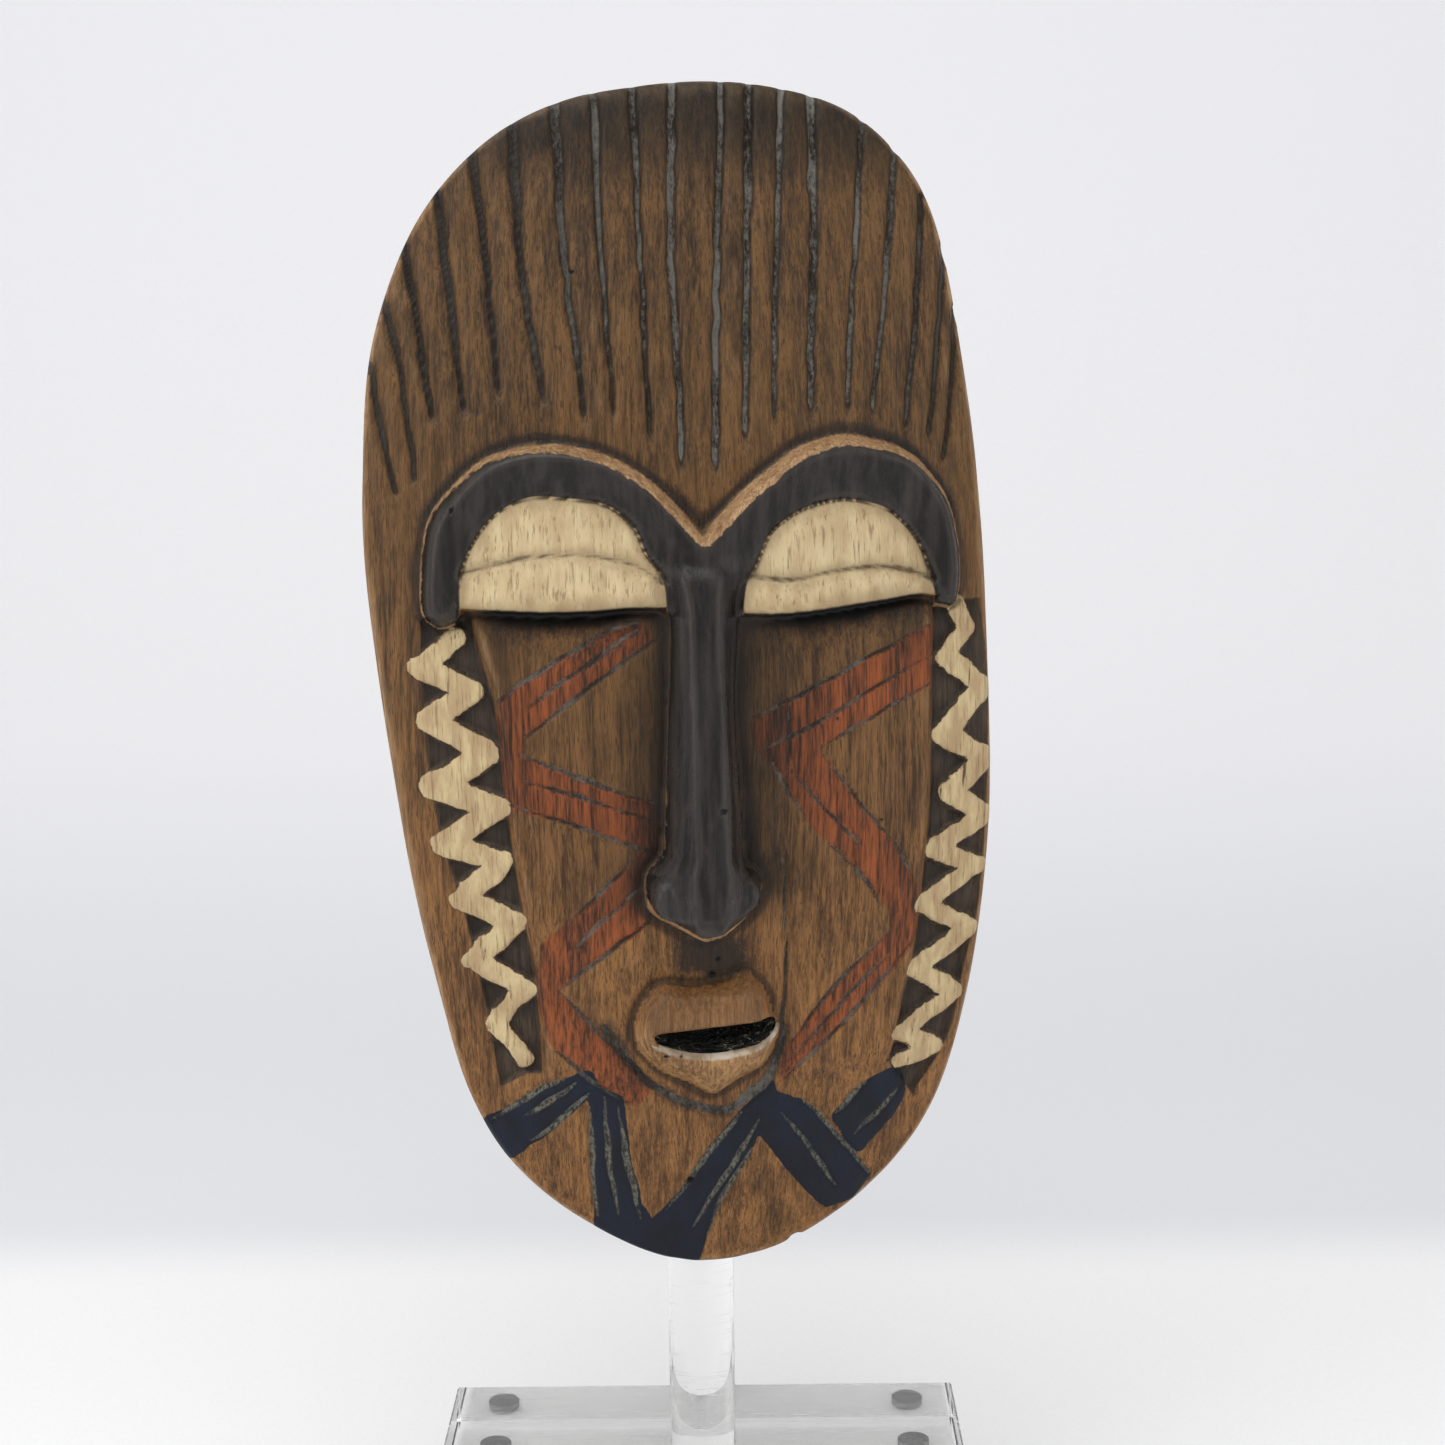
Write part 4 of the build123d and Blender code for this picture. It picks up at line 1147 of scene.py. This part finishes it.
def sawn_block():
    """The softwood block in the hollow, with the marks of a fine saw across its grain."""
    made, n, surface = material("sawn_softwood")
    where = n.place()
    grain = n.group(GRAIN, scale=0.8, dark="9A7444", light="D0AC78", pore_colour="7A5630", pores=0.35)
    saw = n.make("TexWave", n.scaled(where, (0, 0, 900)), bands_direction="Z")
    saw.inputs["Distortion"].default_value = 2.2
    grime = n.pattern((60, 60, 60), detail=4)
    n.set(surface["Base Color"], n.mix(n.fade(grime, 0.5, 0.75, 0.0, 0.5), grain["Color"], "6E4E2E"))
    n.set(surface["Roughness"], n.fade(grime, 0.3, 0.7, 0.75, 0.88))
    bump(n, surface, n.add(grain["Height"], n.times(saw.outputs["Fac"], 0.35)), 0.00025, 0.7)
    return made


def put_on(node, finish):
    """Gives a CAD node one finish over all its faces."""
    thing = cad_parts[node]
    thing.data.materials.clear()
    thing.data.materials.append(finish)


# ---------------------------------------------------------------- screws

SCREW_RADIUS = 2.1 * MM
HEAD_RADIUS = 3.95 * MM
HEAD_HEIGHT = 3.0 * MM
THREAD_PITCH = 1.9 * MM
THREAD_DEPTH = 0.55 * MM
THREAD_TIP = 5.0 * MM
POINT_GAP = 0.3 * MM


def thread_radius(along, angle, length, plain):
    """Radius of a wood screw: plain under the head, then a coarse thread that tapers to a point."""
    taper = min(1.0, (length - along) / THREAD_TIP)
    if along < plain:
        return SCREW_RADIUS
    turn = (along / THREAD_PITCH - angle / (2 * math.pi)) % 1.0
    ridge = max(0.0, 1 - abs(turn - 0.5) / 0.2)
    start = min(1.0, (along - plain) / THREAD_PITCH)
    core = SCREW_RADIUS * taper * (1 - 0.26 * start)
    return max(core + THREAD_DEPTH * start * ridge * math.sqrt(max(taper, 0)), 0.05 * MM)


def screw_mesh(length, plain):
    """One round-head wood screw, its slot not yet cut. It points along +Z from under its head at the origin.
    """
    shape = bmesh.new()
    around, slices = 28, int(length / (0.19 * MM))
    rings = []
    head = [(0.02, 1.0), (0.35, 0.97), (0.62, 0.86), (0.82, 0.66), (0.94, 0.4), (1.0, 0.12), (1.0, 0.0)]
    for radius_share, height_share in head:
        rings.append([(HEAD_RADIUS * radius_share, -HEAD_HEIGHT * height_share)] * around)
    for step in range(slices + 1):
        along = length * step / slices
        rings.append([(thread_radius(along, 2 * math.pi * k / around, length, plain), along)
                      for k in range(around)])
    turns = [2 * math.pi * k / around for k in range(around)]
    loops = []
    for ring in rings:
        loops.append([shape.verts.new((r * math.cos(turn), r * math.sin(turn), z))
                      for turn, (r, z) in zip(turns, ring)])
    for low, high in zip(loops[:-1], loops[1:]):
        for k in range(around):
            after = (k + 1) % around
            shape.faces.new((low[k], low[after], high[after], high[k]))
    shape.faces.new(loops[0][::-1])
    shape.faces.new(loops[-1])
    bmesh.ops.recalc_face_normals(shape, faces=shape.faces)
    mesh = bpy.data.meshes.new("wood_screw")
    shape.to_mesh(mesh)
    shape.free()
    mesh.polygons.foreach_set("use_smooth", [True] * len(mesh.polygons))
    return mesh


def cut_slot(thing):
    """Saws the screwdriver slot across a screw's head."""
    slot = bpy.data.meshes.new("slot")
    wide, half, deep = HEAD_RADIUS * 1.3, 0.55 * MM, 1.5 * MM
    top = -HEAD_HEIGHT * 1.2
    corners = [(x, y, z) for z in (top, top + deep) for y in (-half, half) for x in (-wide, wide)]
    sides = [(0, 2, 3, 1), (4, 5, 7, 6), (0, 1, 5, 4), (2, 6, 7, 3), (0, 4, 6, 2), (1, 3, 7, 5)]
    slot.from_pydata(corners, [], sides)
    cutter = new_object("slot_cutter", slot)
    cut_away(thing, cutter)


def repeat_upright(name, pattern, count, spacing, first, finish):
    """Geometry nodes that stand copies of a pattern object in an upright row, as one mesh."""
    tree = bpy.data.node_groups.new(name, "GeometryNodeTree")
    tree.interface.new_socket("Geometry", in_out="INPUT", socket_type="NodeSocketGeometry")
    sockets = {}
    for label, kind in (("Pattern", "Object"), ("Count", "Int"), ("Spacing", "Vector"), ("First", "Vector"),
                        ("Finish", "Material")):
        sockets[label] = tree.interface.new_socket(label, in_out="INPUT", socket_type="NodeSocket" + kind)
    tree.interface.new_socket("Geometry", in_out="OUTPUT", socket_type="NodeSocketGeometry")
    nodes = tree.nodes
    given = nodes.new("NodeGroupInput")
    line = nodes.new("GeometryNodeMeshLine")
    info = nodes.new("GeometryNodeObjectInfo")
    info.transform_space = "RELATIVE"
    copies = nodes.new("GeometryNodeInstanceOnPoints")
    real = nodes.new("GeometryNodeRealizeInstances")
    painted = nodes.new("GeometryNodeSetMaterial")
    out = nodes.new("NodeGroupOutput")
    for start, output, end, socket in (
            (given, "Pattern", info, "Object"), (given, "Count", line, "Count"),
            (given, "Spacing", line, "Offset"), (given, "First", line, "Start Location"),
            (line, "Mesh", copies, "Points"), (info, "Geometry", copies, "Instance"),
            (copies, "Instances", real, "Geometry"), (real, "Geometry", painted, "Geometry"),
            (given, "Finish", painted, "Material"), (painted, "Geometry", out, "Geometry")):
        tree.links.new(start.outputs[output], end.inputs[socket])

    row = new_object(name, bpy.data.meshes.new(name))
    modifier = row.modifiers.new("row", "NODES")
    modifier.node_group = tree
    values = {"Pattern": pattern, "Count": count, "Spacing": spacing, "First": first, "Finish": finish}
    for label, value in values.items():
        modifier[sockets[label].identifier] = value
    row.data = finished_mesh(row)
    row.data.name = name
    return row


def mask_screws(finish):
    """The two wood screws that go through the rod into the block."""
    low_box, high_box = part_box("mask_screw_lower")
    upper_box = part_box("mask_screw_upper")
    reach = [np.array(v.co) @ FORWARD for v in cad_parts["mask_screw_lower"].data.vertices]
    back, tip = min(reach), max(reach)
    length = tip - back - HEAD_HEIGHT - POINT_GAP
    pattern = new_object("screw_pattern", screw_mesh(length, 15.6 * MM))
    cut_slot(pattern)
    turn_to = Vector(FORWARD).to_track_quat("Z", "X").to_matrix().to_4x4()
    pattern.data.transform(turn_to)
    height = (low_box.z + high_box.z) / 2
    first = Vector(FORWARD * (back + HEAD_HEIGHT)) + Vector((0, 0, height))
    spacing = Vector((0, 0, (upper_box[0].z + upper_box[1].z) / 2 - height))
    row = repeat_upright("mask_screws", pattern, 2, spacing, first, finish)
    bpy.data.objects.remove(pattern)
    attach(row, "turning")
    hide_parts("mask_screw_lower", "mask_screw_upper")


# ---------------------------------------------------------------- stage, lights and camera

def pale_paper():
    """One roll of pale paper: near white on the table, a cooler grey where it runs back, and near white again
    far back and up the wall, painted light that evens out the lamps' fall-off.
    """
    made, n, surface = material("pale_paper")
    where = n.place()
    fibre = n.pattern((900, 900, 900), detail=3)
    back = n.parts(where)[1]
    tone = n.mix(n.fade(back, 0.20, 0.27), "F7F7F7", "E4E5E8")
    # painted light: the paper turns paler far back, making up for the lamps' fall-off
    tone = n.mix(n.fade(back, 0.4, 1.2), tone, "FBFBFD")
    n.set(surface["Base Color"], n.mix(n.fade(fibre, 0.4, 0.7, 0.0, 0.08), tone, "C9CACC"))
    n.set(surface["Roughness"], n.fade(fibre, 0.3, 0.7, 0.82, 0.92))
    return made


def backdrop():
    """A pale sweep: a level table that runs back and curves up into a far wall."""
    near, bend_start, bend, top, half = -2.4, 1.1, 0.4, 2.0, 2.8
    profile = [(near, FLOOR), (bend_start, FLOOR)]
    for step in range(1, 13):
        angle = math.pi / 2 * step / 12
        profile.append((bend_start + bend * math.sin(angle), FLOOR + bend * (1 - math.cos(angle))))
    profile.append((bend_start + bend, FLOOR + top))
    mesh = bpy.data.meshes.new("sweep")
    points = [(x, y, z) for y, z in profile for x in (-half, half)]
    faces = [(2 * k, 2 * k + 1, 2 * k + 3, 2 * k + 2) for k in range(len(profile) - 1)]
    mesh.from_pydata(points, [], faces)
    mesh.polygons.foreach_set("use_smooth", [True] * len(mesh.polygons))
    mesh.materials.append(pale_paper())
    new_object("sweep", mesh)


def area_light(name, place_at, target, size, power, tint="FFFFFF"):
    lamp = bpy.data.lights.new(name, "AREA")
    lamp.shape = "RECTANGLE"
    lamp.size, lamp.size_y = size
    lamp.energy = power
    lamp.color = rgb(tint)[:3]
    thing = bpy.data.objects.new(name, lamp)
    thing.location = place_at
    thing.rotation_euler = (Vector(target) - Vector(place_at)).to_track_quat("-Z", "Y").to_euler()
    thing.visible_camera = False
    scene.collection.objects.link(thing)


def lighting():
    middle = (0, 0, (mask_low.z + mask_high.z) / 2)
    area_light("ceiling", (-0.25, -0.55, 1.35), middle, (1.3, 0.9), 8.4)
    area_light("left_window", (-1.15, -0.75, 0.65), middle, (0.8, 1.0), 3.6)
    area_light("right_fill", (1.2, -0.9, 0.5), middle, (0.9, 1.0), 2.4)
    world = bpy.data.worlds.new("studio")
    scene.world = world
    world.use_nodes = True
    world.node_tree.nodes["Background"].inputs["Color"].default_value = rgb("F8F8F9")
    world.node_tree.nodes["Background"].inputs["Strength"].default_value = 0.70
    scene.view_settings.view_transform = "Standard"


def camera():
    pitch, yaw, roll = math.radians(10.036), math.radians(0.296), math.radians(-0.691)
    forward = Vector((-math.sin(yaw) * math.cos(pitch), math.cos(yaw) * math.cos(pitch), -math.sin(pitch)))
    right = Vector((math.cos(yaw), math.sin(yaw), 0))
    up = right.cross(forward)
    right, up = math.cos(roll) * right + math.sin(roll) * up, -math.sin(roll) * right + math.cos(roll) * up
    lens = bpy.data.cameras.new("camera")
    lens.sensor_width = 36.0
    lens.lens = 62.2
    thing = bpy.data.objects.new("camera", lens)
    thing.matrix_world = Matrix.LocRotScale(
        (0.0118, -0.6858, 0.3674), Matrix((right, up, -forward)).transposed(), None)
    scene.collection.objects.link(thing)
    scene.camera = thing


camera()
backdrop()
lighting()

carved_mask([painted_front(), rubbed_wall(), raw_hollow(), mouth_lining()])
mask_screws(brass())
put_on("post", clear_acrylic("clear_rod", "FEFEFE", 0.015, 0.10))
put_on("base_block", clear_acrylic("clear_block", "FDFDFC", 0.012, 0.12))
put_on("mounting_block", sawn_block())
steel = satin_steel()
for node in ("washer_lower", "washer_upper"):
    put_on(node, steel)
rubber = grey_rubber()
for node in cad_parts:
    if node.startswith("foot_"):
        put_on(node, rubber)
